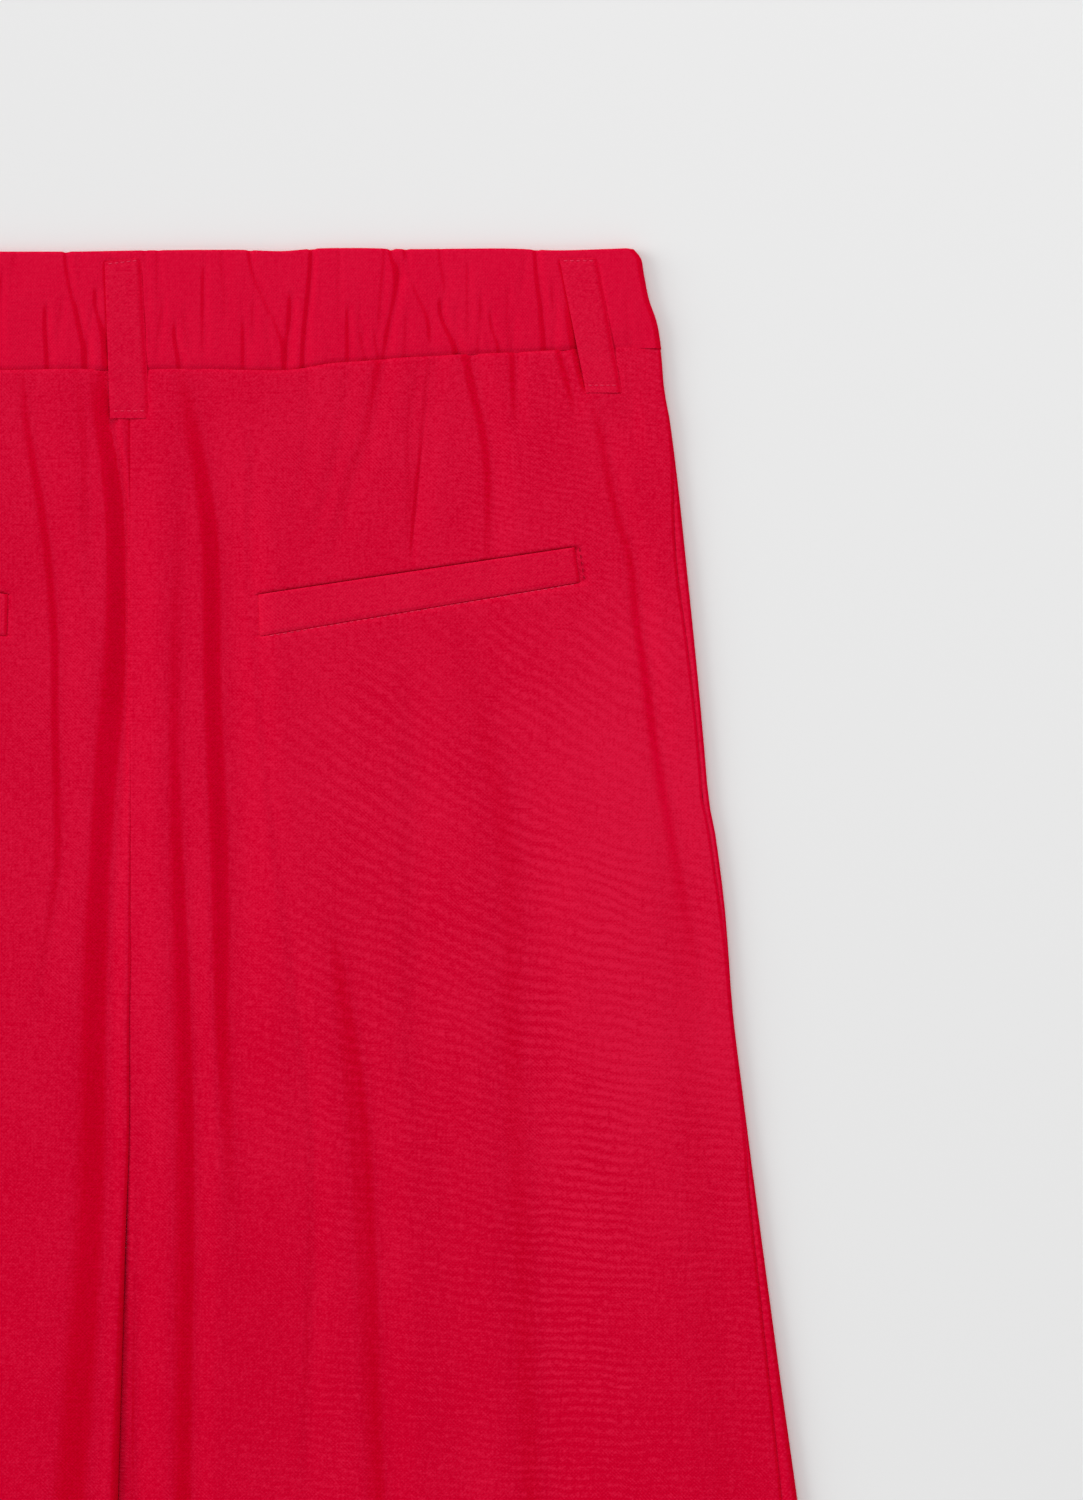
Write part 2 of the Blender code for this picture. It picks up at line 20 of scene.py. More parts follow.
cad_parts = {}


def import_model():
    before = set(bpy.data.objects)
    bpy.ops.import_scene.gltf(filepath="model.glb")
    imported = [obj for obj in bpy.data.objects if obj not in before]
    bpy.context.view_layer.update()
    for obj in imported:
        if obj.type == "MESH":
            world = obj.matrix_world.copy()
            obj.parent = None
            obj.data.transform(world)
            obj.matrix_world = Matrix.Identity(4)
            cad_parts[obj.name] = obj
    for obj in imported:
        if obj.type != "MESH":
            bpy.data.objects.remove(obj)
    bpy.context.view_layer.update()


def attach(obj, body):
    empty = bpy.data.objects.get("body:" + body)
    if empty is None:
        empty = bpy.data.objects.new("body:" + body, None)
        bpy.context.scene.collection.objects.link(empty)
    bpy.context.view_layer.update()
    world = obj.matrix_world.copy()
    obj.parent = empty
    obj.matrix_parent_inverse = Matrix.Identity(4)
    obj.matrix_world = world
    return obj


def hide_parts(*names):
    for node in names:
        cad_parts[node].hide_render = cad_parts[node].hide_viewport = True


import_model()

MM = 0.001
LOG = logging.getLogger("palazzo_pants")

Stations = tuple[tuple[float, float], ...]
Number = float | np.ndarray


def ease(share: Number) -> np.ndarray:
    """Rise smoothly from 0 at 0 to 1 at 1, level beyond both."""
    share = np.clip(share, 0.0, 1.0)
    return share * share * (3 - 2 * share)


def bump(offset: Number) -> np.ndarray:
    """A rounded hump: 1 at its crest, falling to 0 at an offset of one half width."""
    return np.cos(np.clip(offset, -1.0, 1.0) * math.pi / 2) ** 2


def squared(share: Number, power: Number = 0.6) -> np.ndarray:
    """Turn a circle's co-ordinate into that of a squarer curve, for a pressed edge."""
    return np.sign(share) * abs(share) ** power


def grooves(distance: Number, *valleys: tuple[float, float]) -> np.ndarray:
    """Depth of valleys that share a bottom line, each given as (sink, half width)."""
    return sum(sink * bump(distance / half_width) for sink, half_width in valleys)


class Layer(Enum):
    """Which way a cloth layer's outside faces."""

    BACK = 1
    FRONT = -1


class Slot(Enum):
    """The record's material slots."""

    PANELS = "linen_panels"
    WAISTBAND = "linen_waistband"
    TRIM = "linen_trim"


@dataclass(frozen=True)
class Profile:
    """A smooth curve through (place, value) stations, level beyond both ends."""

    stations: Stations

    def at(self, place: Number) -> np.ndarray:
        """Read the curve.

        Args:
            place: Where to read it.

        Returns:
            The curve's values, with flat tangents where it turns.
        """
        places, values = np.array(self.stations, dtype=float).T
        slopes = np.diff(values) / np.diff(places)
        inner = np.where(slopes[:-1] * slopes[1:] > 0, (slopes[:-1] + slopes[1:]) / 2, 0.0)
        tangents = np.concatenate([slopes[:1], inner, slopes[-1:]])
        place = np.clip(place, places[0], places[-1])
        k = np.clip(np.searchsorted(places, place, side="right") - 1, 0, len(places) - 2)
        step = places[k + 1] - places[k]
        t = (place - places[k]) / step
        start = (1 + 2 * t) * (1 - t) ** 2 * values[k] + t * (1 - t) ** 2 * step * tangents[k]
        end = t**2 * (3 - 2 * t) * values[k + 1] + t**2 * (t - 1) * step * tangents[k + 1]
        return start + end


@dataclass(frozen=True)
class Fold:
    """A soft ridge, or a trough where its height is negative, that runs down a panel."""

    path: Stations
    inward: float
    outward: float
    height: Stations

    def relief(self, out: np.ndarray, depth: np.ndarray) -> np.ndarray:
        """Height that the fold adds at distances from the centre line and depths."""
        offset = out - Profile(self.path).at(depth)
        return Profile(self.height).at(depth) * bump(offset / np.where(offset < 0, self.inward, self.outward))


@dataclass(frozen=True)
class Ditch:
    """A narrow straight valley that sewing pulls into the cloth."""

    start: tuple[float, float]
    end: tuple[float, float]
    half_width: float
    sink: float
    fade: float

    def depth_at(self, out: np.ndarray, depth: np.ndarray) -> np.ndarray:
        """How deep the valley is.

        Args:
            out: Distances from the centre line.
            depth: Depths below the waistband's top.

        Returns:
            The valley's depth at each point.
        """
        run = np.subtract(self.end, self.start)
        length = float(np.hypot(*run))
        ahead = ((out - self.start[0]) * run[0] + (depth - self.start[1]) * run[1]) / length
        aside = ((out - self.start[0]) * run[1] - (depth - self.start[1]) * run[0]) / length
        window = ease(ahead / self.fade + 1) * ease((length - ahead) / self.fade + 1)
        return self.sink * window * bump(aside / self.half_width)


@dataclass(frozen=True)
class Gather:
    """A crease of the elastic waistband, from its upper end to its lower end."""

    x_upper: float
    depth_upper: float
    x_lower: float
    depth_lower: float
    sink: float
    steep: float = 1.3
    recovery: float = 2.4
    fade: float = 6.0

    def relief(self, x: np.ndarray, depth: np.ndarray) -> np.ndarray:
        """Height that the crease takes away, steeply on its left and gently on its right.

        Args:
            x: Places across the waistband.
            depth: Depths below its top.

        Returns:
            The change of height, negative in the crease.
        """
        run = (depth - self.depth_upper) / (self.depth_lower - self.depth_upper)
        middle = self.x_upper + (self.x_lower - self.x_upper) * ease(run)
        fade = ease((depth - self.depth_upper) / self.fade + 1)
        fade = fade * ease((self.depth_lower - depth) / self.fade + 1)
        offset = x - middle
        spread = self.steep * np.where(offset < 0, 1.0, self.recovery) * (0.8 + 0.5 * np.clip(run, 0, 1))
        return -self.sink * fade * bump(offset / spread)

    def notch(self, x: np.ndarray) -> np.ndarray:
        """How far the crease pulls the waistband's top edge down, if it starts there."""
        pull = 0.45 * self.sink if self.depth_upper < 2.5 else 0.0
        return pull * bump((x - self.x_upper) / 1.8)


@dataclass(frozen=True)
class Cut:
    """The garment's driving sizes, shared by its pieces."""

    length: float = 1050.0
    wall: float = 0.7
    seam_gap: float = 0.06
    thickness_below_side: float = 3.5
    crown: float = 0.9
    hem_rise_at_side: float = 10.0
    hem_turn_up: float = 24.0
    hem_stitch: float = 21.5
    crotch: float = 353.0
    inner_turn: Profile = Profile(((262, 0), (281, 0.36), (319, 0.42), (353, 0.6), (378, 0.85), (400, 1)))
    side_edge: Profile = Profile((
        (0, 189.2), (3, 191.6), (8, 192.6), (19, 194.8), (27, 197.6), (38, 199.4), (54, 201), (60, 202.2),
        (80, 204.8), (110, 207.9), (168, 213.8), (200, 216.6), (206, 217), (214, 218.8), (236, 222),
        (244, 223), (265, 224.8), (284, 226.2), (319, 230.4), (356, 235), (394, 240), (469, 250.4),
        (735, 287.8), (1050, 331.5),
    ))
    waist_seam: Profile = Profile((
        (0, 45.0), (14, 44.7), (26, 44.6), (38, 44.9), (50, 45.1), (60, 45), (66, 44.2), (75, 42.6),
        (90, 41.5), (101, 40.5), (112, 39.9), (120, 39.4), (139, 38.6), (154, 37.9), (165, 37.2),
        (186, 36.6), (200, 37),
    ))
    front_waist_seam: Profile = Profile(((0, 43), (200, 37.2)))
    side_seam_inset: Profile = Profile((
        (37, 0), (60, 0.3), (80, 1.3), (104, 3.3), (121, 3.8), (146, 3), (176, 2.4), (236, 2.2),
        (282, 0.8), (326, 1.2), (356, 2.6), (394, 3.6), (431, 4.7), (469, 6), (588, 8.4), (788, 5),
        (1050, 3),
    ))

    @property
    def ground(self) -> float:
        """Middle height of cloth that lies on the ground."""
        return self.wall / 2

    @property
    def side_roll(self) -> float:
        """Middle radius of the half-round roll at the side edge."""
        return self.thickness_below_side / 2

    @property
    def side_height(self) -> float:
        """Middle height of the back beside the side roll."""
        return self.ground + self.thickness_below_side

    def hem(self, across: Number) -> Number:
        """Depth of the hem's edge, at a share of the way from the inner edge to the side."""
        return self.length - self.hem_rise_at_side * across**2


CUT = Cut()

# Folds of both legs, outward of the parts that differ.
SHARED_FOLDS = (
    # Crest and crease down the middle of the thigh.
    Fold(((240, 70), (330, 80), (450, 86), (735, 100), (1050, 122)), 18, 7,
         ((235, 0), (281, 0.8), (319, 0.8), (461, 0.7), (735, 1.4), (1050, 2.2))),
    Fold(((240, 78), (281, 84.5), (330, 91), (382, 93.7), (450, 96), (735, 112), (1050, 135)), 5.5, 13,
         ((250, 0), (290, -0.7), (330, -0.9), (450, -0.8), (735, -1.5), (1050, -1.8))),
    # Broad waves over the hip.
    Fold(((130, 104), (206, 107), (281, 107), (340, 112)), 8, 12,
         ((130, 0), (206, -0.45), (281, -0.5), (340, 0))),
    Fold(((140, 112), (206, 126), (319, 132), (461, 140), (735, 165), (1050, 196)), 18, 14,
         ((140, 0), (206, 0.4), (319, 0.5), (461, 0.6), (735, 1.6), (1050, 2.6))),
    Fold(
        path=((120, 120), (150, 130), (169, 137), (225, 149), (300, 151), (375, 155), (461, 158),
              (735, 186), (1050, 220)),
        inward=13, outward=22,
        height=((120, 0), (169, -0.7), (225, -1), (300, -0.9), (461, -0.9), (735, -1.5), (1050, -2)),
    ),
    Fold(((150, 184), (236, 193), (319, 199), (461, 210), (735, 242), (1050, 280)), 42, 22,
         ((145, 0), (200, 0.9), (281, 1.2), (356, 1.1), (461, 1.1), (735, 1.5), (1050, 2.2))),
    # Hollow below the side's belt loop.
    Fold(((42, 185), (60, 188), (78, 190)), 17, 5, ((48, 0), (63, -0.6), (80, 0))),
    # Crease beside the side seam, from the belt loop down the hip.
    Fold(
        path=((55, 174), (64, 177), (97, 184), (116, 189.5), (139, 192), (161, 195.5), (184, 198.5),
              (225, 206), (262, 213), (300, 220)),
        inward=4.5, outward=8,
        height=((50, 0), (75, -0.6), (116, -0.8), (161, -0.9), (184, -0.7), (225, -0.4), (300, 0)),
    ),
)

# Gathers that the elastic throws into a back below the waist seam.
WAIST_GATHERS = (
    Fold(((43, 66.5), (71, 66.5), (90, 63.5), (112, 60)), 3, 6, ((43, -0.2), (71, -0.2), (112, 0))),
    Fold(((43, 82), (64, 80), (90, 74), (118, 64)), 3.2, 6, ((43, -0.3), (90, -0.3), (118, 0))),
    Fold(((43, 95), (56, 92.5), (71, 89.5), (86, 83.5), (101, 80), (120, 74)), 4.2, 8,
         ((43, -0.9), (56, -0.6), (94, -0.45), (120, 0))),
    Fold(((41, 109), (56, 107), (71, 105.5), (90, 106), (116, 103)), 3.6, 6,
         ((41, -0.3), (90, -0.35), (120, 0))),
    Fold(((40, 115), (56, 112.6), (79, 110.4), (112, 106.5)), 3.4, 7,
         ((40, -0.6), (56, -0.4), (90, -0.5), (118, 0))),
    Fold(((40, 127.5), (56, 131), (71, 134.5), (94, 136), (118, 135.5)), 3.8, 10,
         ((40, -1.1), (56, -1.0), (94, -0.75), (135, 0))),
    Fold(((39, 144.5), (56, 145), (70, 146)), 2.6, 5, ((39, -0.8), (56, -0.6), (70, 0))),
    Fold(((39, 162), (53, 166), (62, 168)), 2.6, 5, ((39, -0.8), (53, -0.7), (64, 0))),
)

RIGHT_FOLDS = (
    # Broad ridge along the centre seam and then along the leg's inner edge.
    Fold(
        path=((45, 14), (131, 13), (206, 12.5), (281, 13.5), (337, 15), (412, 14.5), (469, 14),
              (735, 17), (1050, 27)),
        inward=13, outward=9,
        height=((45, 0.2), (86, 0.5), (131, 0.8), (206, 1.0), (281, 1.2), (353, 1.3), (469, 1.3),
                (735, 2.2), (1050, 2.8)),
    ),
    # Groove on that ridge's outer flank.
    Fold(
        path=((120, 18.5), (169, 18.5), (206, 19.4), (244, 21.4), (281, 23.2), (337, 24.6), (375, 24.8),
              (431, 23.9), (469, 23.5), (735, 30), (1050, 41)),
        inward=5, outward=9,
        height=((110, 0), (146, -0.2), (206, -0.42), (244, -0.8), (281, -1.1), (356, -1.0), (424, -0.75),
                (469, -0.75), (735, -1.3), (1050, -1.6)),
    ),
    # Deep trough beside it, from a gather at the waist to mid thigh.
    Fold(
        path=((45, 23), (53, 25.5), (67, 28), (90, 32), (110, 34.5), (131, 35.2), (161, 35.4), (187, 36.4),
              (225, 38), (262, 38.4), (281, 38.4), (319, 40), (350, 42), (400, 45)),
        inward=9, outward=20,
        height=((45, -0.5), (60, -1.1), (90, -2.0), (110, -2.6), (161, -2.8), (225, -2.8), (262, -2.3),
                (290, -1.8), (340, -0.9), (400, 0)),
    ),
    # The inner edge slopes down into the crevice between the legs.
    Fold(
        path=((353, -1), (394, -2.5), (431, -3.6), (465, -4.6), (546, -5.8), (735, -3), (1050, 5)),
        inward=6, outward=13, height=((353, 0), (394, -0.4), (431, -0.8), (469, -1), (1050, -1)),
    ),
    # Fine crease from below the waist, past the welt's inner end and down the thigh.
    Fold(
        path=((60, 43), (75, 46), (109, 45.2), (131, 46), (150, 48), (187, 50.8), (218, 54.5),
              (244, 57.5), (262, 60.5), (281, 62.5), (300, 65), (345, 69), (375, 69), (412, 67.5), (450, 66)),
        inward=2.8, outward=8,
        height=((55, 0), (75, -0.35), (131, -0.5), (206, -0.5), (250, -0.35), (300, -0.4), (375, -0.45),
                (450, -0.3), (480, 0)),
    ),
)

LEFT_FOLDS = (
    # Trough along the inner edge, which leaves that edge standing as a narrow roll.
    Fold(
        path=((120, 1.2), (150, 1.9), (184, 3.9), (206, 5.2), (244, 7.0), (281, 8), (337, 8.2), (375, 8.8),
              (412, 10), (450, 12), (469, 13), (735, 24), (1050, 34)),
        inward=7, outward=10,
        height=((120, 0), (150, -0.9), (170, -1.6), (206, -2.1), (262, -2.0), (300, -1.5), (337, -1),
                (371, -0.6), (431, -0.4), (1050, -0.4)),
    ),
    # Broad crest from which the leg falls away towards its inner edge.
    Fold(
        path=((150, 19), (191, 22), (244, 23), (296, 23), (356, 23.5), (394, 25.5), (431, 28), (469, 31),
              (735, 44), (1050, 56)),
        inward=16, outward=60,
        height=((130, 0), (191, 0.6), (244, 1.0), (296, 1.45), (356, 2.0), (401, 2.5), (469, 2.6),
                (735, 2.2), (1050, 2.0)),
    ),
    # Gather from the waist into the centre seam.
    Fold(
        path=((45, 9.5), (56, 8.2), (67, 6.2), (86, 3.5), (110, 1.9), (150, 1.7)),
        inward=3, outward=8.5,
        height=((45, -0.8), (56, -1.7), (67, -2.4), (79, -2.7), (90, -2.5), (116, -1.8), (146, -1.0),
                (180, 0)),
    ),
    Fold(((50, 18), (64, 16), (101, 15.2), (130, 15)), 8, 4, ((45, -0.3), (64, -0.5), (101, -0.4), (140, 0))),
    # Crease from the waist to mid thigh.
    Fold(
        path=((45, 39), (64, 37.3), (97, 31.7), (120, 28.7), (146, 26.7), (176, 26.5), (225, 25.5),
              (262, 30.5), (300, 35.5)),
        inward=13, outward=3.4,
        height=((45, -0.35), (64, -0.7), (97, -0.95), (146, -0.9), (176, -0.9), (225, -0.7), (300, 0)),
    ),
)

# Slight creases that the front picks up from lying under the back.
FRONT_FOLDS = (
    Fold(((60, 60), (300, 72), (700, 96), (1050, 120)), 10, 14,
         ((60, 0), (200, 0.3), (900, 0.35), (1050, 0.2))),
    Fold(((80, 120), (400, 140), (800, 178)), 12, 10, ((80, 0), (220, 0.28), (640, 0.3), (800, 0))),
    Fold(((200, 30), (520, 38), (1050, 62)), 9, 12, ((200, 0), (420, 0.3), (1050, 0.3))),
    Fold(((300, 185), (700, 225), (1050, 268)), 14, 10, ((300, 0), (500, 0.3), (1050, 0.3))),
)

# Creases of the elastic waistband, from the left side to the right.
BAND_GATHERS = tuple(Gather(*row) for row in (
    (-176, 8, -178, 34, 0.6), (-153, 0, -156, 35, 0.8), (-141, 22, -143, 37, 0.6),
    (-130, 0, -134, 37, 0.8), (-118, 14, -121, 38, 0.7), (-103, 0, -99, 39, 0.9), (-92, 22, -93, 40, 0.6),
    (-84, 0, -88, 40, 0.7), (-76, 24, -77, 42, 0.8), (-66, 0, -61, 43, 0.9), (-48, 12, -50, 43, 0.6),
    (-31.5, 25, -30.5, 43, 1.0), (-24.0, 0, -16.5, 43, 0.8), (-19.5, 22, -15.5, 42, 0.6),
    (-12.8, 18, -8.5, 38, 1.1), (5.6, 2, 6.0, 18, 0.35), (10.6, 1, 10.6, 18, 0.35),
    (17, 31, 18.9, 43, 1.0), (27.8, 10, 27.8, 36, 0.5), (42.8, 30, 43, 43, 0.6),
    (45, 0, 58.5, 41, 0.7, 1.5, 2.0), (60.4, 20, 59, 41, 0.9, 1.8), (68.2, 0, 65.2, 43, 1.2),
    (81.8, 24, 82.2, 39, 0.8), (87.4, 33, 88.6, 41, 0.6), (92.2, 33, 93.4, 40, 0.5),
    (98, 0, 100.8, 10, 1.1, 1.9), (100.8, 8, 95.8, 41, 0.9, 1.6), (103.5, 2, 113, 31, 0.6, 1.6),
    (116.6, 22, 122.8, 39, 1.2, 1.6), (126.8, 7, 127.2, 30, 0.4), (135.4, 26, 138.8, 38, 0.8),
    (144, 26, 143.8, 36, 0.5), (152.3, 0, 156.2, 37, 1.0, 1.5), (158.6, 16, 158.6, 36, 0.5),
))


def small_gathers(count: int, seed: int) -> tuple[Gather, ...]:
    """Scatter slight creases over the elastic waistband.

    Args:
        count: How many to make.
        seed: Start of the random sequence.

    Returns:
        The creases.
    """
    rng = np.random.default_rng(seed)
    made = []
    for place in np.linspace(-184, 184, count):
        x = place + rng.uniform(-3, 3)
        lean = rng.uniform(-2.5, 2.5)
        if rng.random() < 0.25:
            upper, lower = rng.uniform(-2, 4), rng.uniform(12, 26)
        else:
            upper, lower = rng.uniform(16, 30), rng.uniform(34, 44)
        sink, width = rng.uniform(0.1, 0.5), rng.uniform(1.1, 2.4)
        made.append(Gather(x, upper, x + lean, lower, sink, width, rng.uniform(1.0, 2.0)))
    return tuple(made)


SMALL_GATHERS = small_gathers(62, 7)


@dataclass(frozen=True)
class LegForm:
    """The surface of one leg's back, and what differs between the two legs."""

    name: str
    sign: int
    inner_edge: Profile
    inner_height: Profile
    folds: tuple[Fold, ...]
    welt_shift: float
    centre_valley: Profile
    centre_valley_width: float
    set_back: Profile
    inner_press: Profile
    lowest: float = 1.55
    lowest_at_hem: float = 3.4
    hem_lift_starts: float = 960.0
    hem_lift_span: float = 50.0
    clamp_softness: float = 0.25
    calm_at_seam: float = 3.0
    calm_at_side: tuple[float, float] = (2.5, 8.0)

    def height(self, out: np.ndarray, depth: np.ndarray) -> np.ndarray:
        """Middle height of the back's cloth, where it isn't part of a roll.

        Args:
            out: Distances from the centre line.
            depth: Depths below the waistband's top.

        Returns:
            The height at each point.
        """
        edge = CUT.side_edge.at(depth)
        across = np.clip(out / edge, 0.0, 1.0)
        inner = self.inner_height.at(depth)
        base = inner + (CUT.side_height - inner) * ease(across) + CUT.crown * np.sin(math.pi * across)
        from_seam = edge - out - CUT.side_seam_inset.at(depth)
        nearest, free = self.calm_at_side
        calm = ease(out / self.calm_at_seam) * ease((from_seam - nearest) / (free - nearest))
        valley = self.centre_valley.at(depth) * bump(out / self.centre_valley_width)
        folds = sum(fold.relief(out, depth) for fold in self.folds)
        lift = ease((depth - self.hem_lift_starts) / self.hem_lift_span)
        lowest = self.lowest + (self.lowest_at_hem - self.lowest) * lift
        spare = (base + valley + calm * folds - lowest) / self.clamp_softness
        return lowest + self.clamp_softness * np.logaddexp(0.0, spare)


RIGHT_LEG = LegForm(
    name="right",
    sign=1,
    inner_edge=Profile((
        (45, 0.03), (262, 0.03), (281, -0.5), (337, -0.7), (356, -1.3), (394, -2.5), (431, -3.6),
        (465, -4.6), (546, -5.8), (735, -3), (1050, 5),
    )),
    inner_height=Profile((
        (45, 4.25), (68, 4.2), (95, 3.85), (200, 3.85), (262, 3.95), (353, 3.8), (394, 3.3), (431, 2.9),
        (465, 2.6), (1050, 2.9),
    )),
    folds=RIGHT_FOLDS + SHARED_FOLDS + WAIST_GATHERS,
    welt_shift=0.0,
    centre_valley=Profile((
        (45, -0.3), (68, -0.35), (95, -0.8), (200, -0.75), (262, -0.4), (353, 0), (1050, 0),
    )),
    centre_valley_width=11.0,
    set_back=Profile(((262, 0), (281, 0.35), (337, 0.55), (356, 0.9), (394, 1.7), (465, 2.4), (1050, 2.0))),
    inner_press=Profile(((262, 1.0), (1050, 1.0))),
)
LEFT_LEG = LegForm(
    name="left",
    sign=-1,
    inner_edge=Profile((
        (45, 0.03), (262, 0.03), (281, 0.4), (337, 0.6), (356, 1.2), (394, 2.4), (431, 3.5),
        (465, 4.5), (546, 7.0), (735, 13), (1050, 20),
    )),
    inner_height=Profile((
        (45, 4.25), (68, 4.45), (95, 4.9), (130, 4.8), (170, 4.3), (215, 3.9), (262, 4), (310, 4.3),
        (353, 4.5), (394, 5), (431, 5.4), (465, 5.7), (1050, 5.8),
    )),
    folds=LEFT_FOLDS + SHARED_FOLDS + WAIST_GATHERS,
    welt_shift=-2.5,
    centre_valley=Profile((
        (45, -0.3), (68, -0.6), (95, -1.9), (130, -1.9), (170, -1.3), (215, -0.6), (262, -0.25), (310, 0),
        (1050, 0),
    )),
    centre_valley_width=8.5,
    set_back=Profile(((262, 0), (281, 0.1), (337, 0.15), (394, 0.3), (465, 0.7), (1050, 1.0))),
    inner_press=Profile(((262, 0.6), (394, 0.6), (465, 0.72), (1050, 0.8))),
    lowest=1.35,
    calm_at_seam=1.5,
)


class LegSection:
    """The rolls of a leg's cross-section at an array of depths."""

    def __init__(self, leg: LegForm, depth: np.ndarray) -> None:
        """Work out the rolls.

        Args:
            leg: The leg's form.
            depth: Depths below the waistband's top.
        """
        turn = math.pi / 2 * CUT.inner_turn.at(depth)
        self.leg = leg
        self.depth = depth
        self.inner_roll = (leg.inner_height.at(depth) - CUT.ground) / 2
        self.inner_turn = turn * (1 - CUT.seam_gap / (math.pi * self.inner_roll))
        self.inner_centre = leg.inner_edge.at(depth) + (self.inner_roll + CUT.wall / 2) * np.sin(turn)
        self.set_back = leg.set_back.at(depth)
        self.side_centre = CUT.side_edge.at(depth) - CUT.wall / 2 - CUT.side_roll
        self.flat = self.side_centre - self.inner_centre
        inset = CUT.side_seam_inset.at(depth)
        outside = CUT.side_roll + CUT.wall / 2
        on_roll = CUT.side_roll * np.arccos(np.clip(1 - inset / outside, 0, 1))
        past_roll = CUT.side_roll * math.pi / 2 + inset - outside
        self.seam_run = np.where(inset < outside, on_roll, past_roll)

    @property
    def round_inner(self) -> np.ndarray:
        """Length of cloth round the inner roll, up to the seam."""
        return self.inner_roll * self.inner_turn

    def back_length(self) -> np.ndarray:
        """Length of the back's cloth from its inner edge to the side seam."""
        side = CUT.side_roll * math.pi / 2 - self.seam_run - CUT.seam_gap / 2
        return self.round_inner + self.flat - self.set_back + side

    def front_length(self) -> np.ndarray:
        """Length of the front's cloth from its inner edge to the side seam."""
        side = CUT.side_roll * math.pi / 2 + self.seam_run - CUT.seam_gap / 2
        return self.round_inner + self.flat + side

    def back(self, run: np.ndarray) -> tuple[np.ndarray, np.ndarray]:
        """Follow the back's cloth from its inner edge.

        Args:
            run: Lengths of cloth from that edge.

        Returns:
            Distances from the centre line, and heights.
        """
        past = run - self.round_inner
        flat = self.flat - self.set_back
        inner = np.clip(-past / self.inner_roll, 0, None)
        outer = np.clip((past - flat) / CUT.side_roll, 0, None)
        out = self.inner_centre + self.set_back + np.clip(past, 0, flat)
        height = self.leg.height(out, self.depth)
        spread = (1 - np.cos(inner)) / np.maximum(1 - np.cos(self.inner_turn), 1e-6)
        press = self.leg.inner_press.at(self.depth)
        out = out - self.inner_roll * squared(np.sin(inner), press) - self.set_back * np.clip(spread, 0, 1)
        out = out + CUT.side_roll * squared(np.sin(outer))
        drop = self.inner_roll * (1 - squared(np.cos(inner), press))
        return out, height - drop - CUT.side_roll * (1 - squared(np.cos(outer)))

    def front(self, run: np.ndarray) -> tuple[np.ndarray, np.ndarray]:
        """Follow the front's cloth from its inner edge, along the ground and up round the side.

        Args:
            run: Lengths of cloth from that edge.

        Returns:
            Distances from the centre line, and heights.
        """
        past = run - self.round_inner
        inner = np.clip(-past / self.inner_roll, 0, None)
        outer = np.clip((past - self.flat) / CUT.side_roll, 0, math.pi)
        over = np.clip(past - self.flat - math.pi * CUT.side_roll, 0, None)
        out = self.inner_centre + np.clip(past, 0, self.flat)
        out = out - self.inner_roll * np.sin(inner) + CUT.side_roll * squared(np.sin(outer)) - over
        rise = self.inner_roll * (1 - np.cos(inner)) + CUT.side_roll * (1 - squared(np.cos(outer)))
        return out, CUT.ground + rise


def world(x: np.ndarray, depth: np.ndarray, height: np.ndarray) -> np.ndarray:
    """Points in metres, in the frame's axes, from places, depths and heights in millimetres."""
    return np.stack(np.broadcast_arrays(x, CUT.length / 2 - depth, height), axis=-1) * MM


class Workbench:
    """Steps that every piece needs."""

    @staticmethod
    def clear_selection() -> None:
        """Deselect everything, so that an operator acts on one piece alone."""
        for item in bpy.context.selected_objects:
            item.select_set(False)

    @staticmethod
    def take(piece: bpy.types.Object) -> None:
        """Make one piece the only selected and active one."""
        Workbench.clear_selection()
        piece.select_set(True)
        bpy.context.view_layer.objects.active = piece

    @staticmethod
    def added(name: str) -> bpy.types.Object:
        """Name the object that an operator has just added."""
        piece = bpy.context.object
        piece.name = name
        piece.data.name = name
        return piece

    @staticmethod
    def apply_modifiers(piece: bpy.types.Object) -> None:
        """Apply all of a piece's modifiers in their order."""
        Workbench.take(piece)
        for modifier in list(piece.modifiers):
            bpy.ops.object.modifier_apply(modifier=modifier.name)


def outside_normals(points: np.ndarray, layer: Layer) -> np.ndarray:
    """Unit normals on the outside of a sheet.

    Args:
        points: Rows and columns of points.
        layer: Which way the sheet faces on the whole.

    Returns:
        A unit vector for each point.
    """
    down, along = np.gradient(points, axis=0), np.gradient(points, axis=1)
    normals = np.cross(down, along)
    normals /= np.linalg.norm(normals, axis=-1, keepdims=True)
    return normals if np.sign(normals[..., 2].mean()) == layer.value else -normals


WEAVE_MAP = "weave"
TILT_MAP = "tilt"
SMOOTH_BELOW = math.radians(60)
BEVEL_ABOVE = math.radians(50)


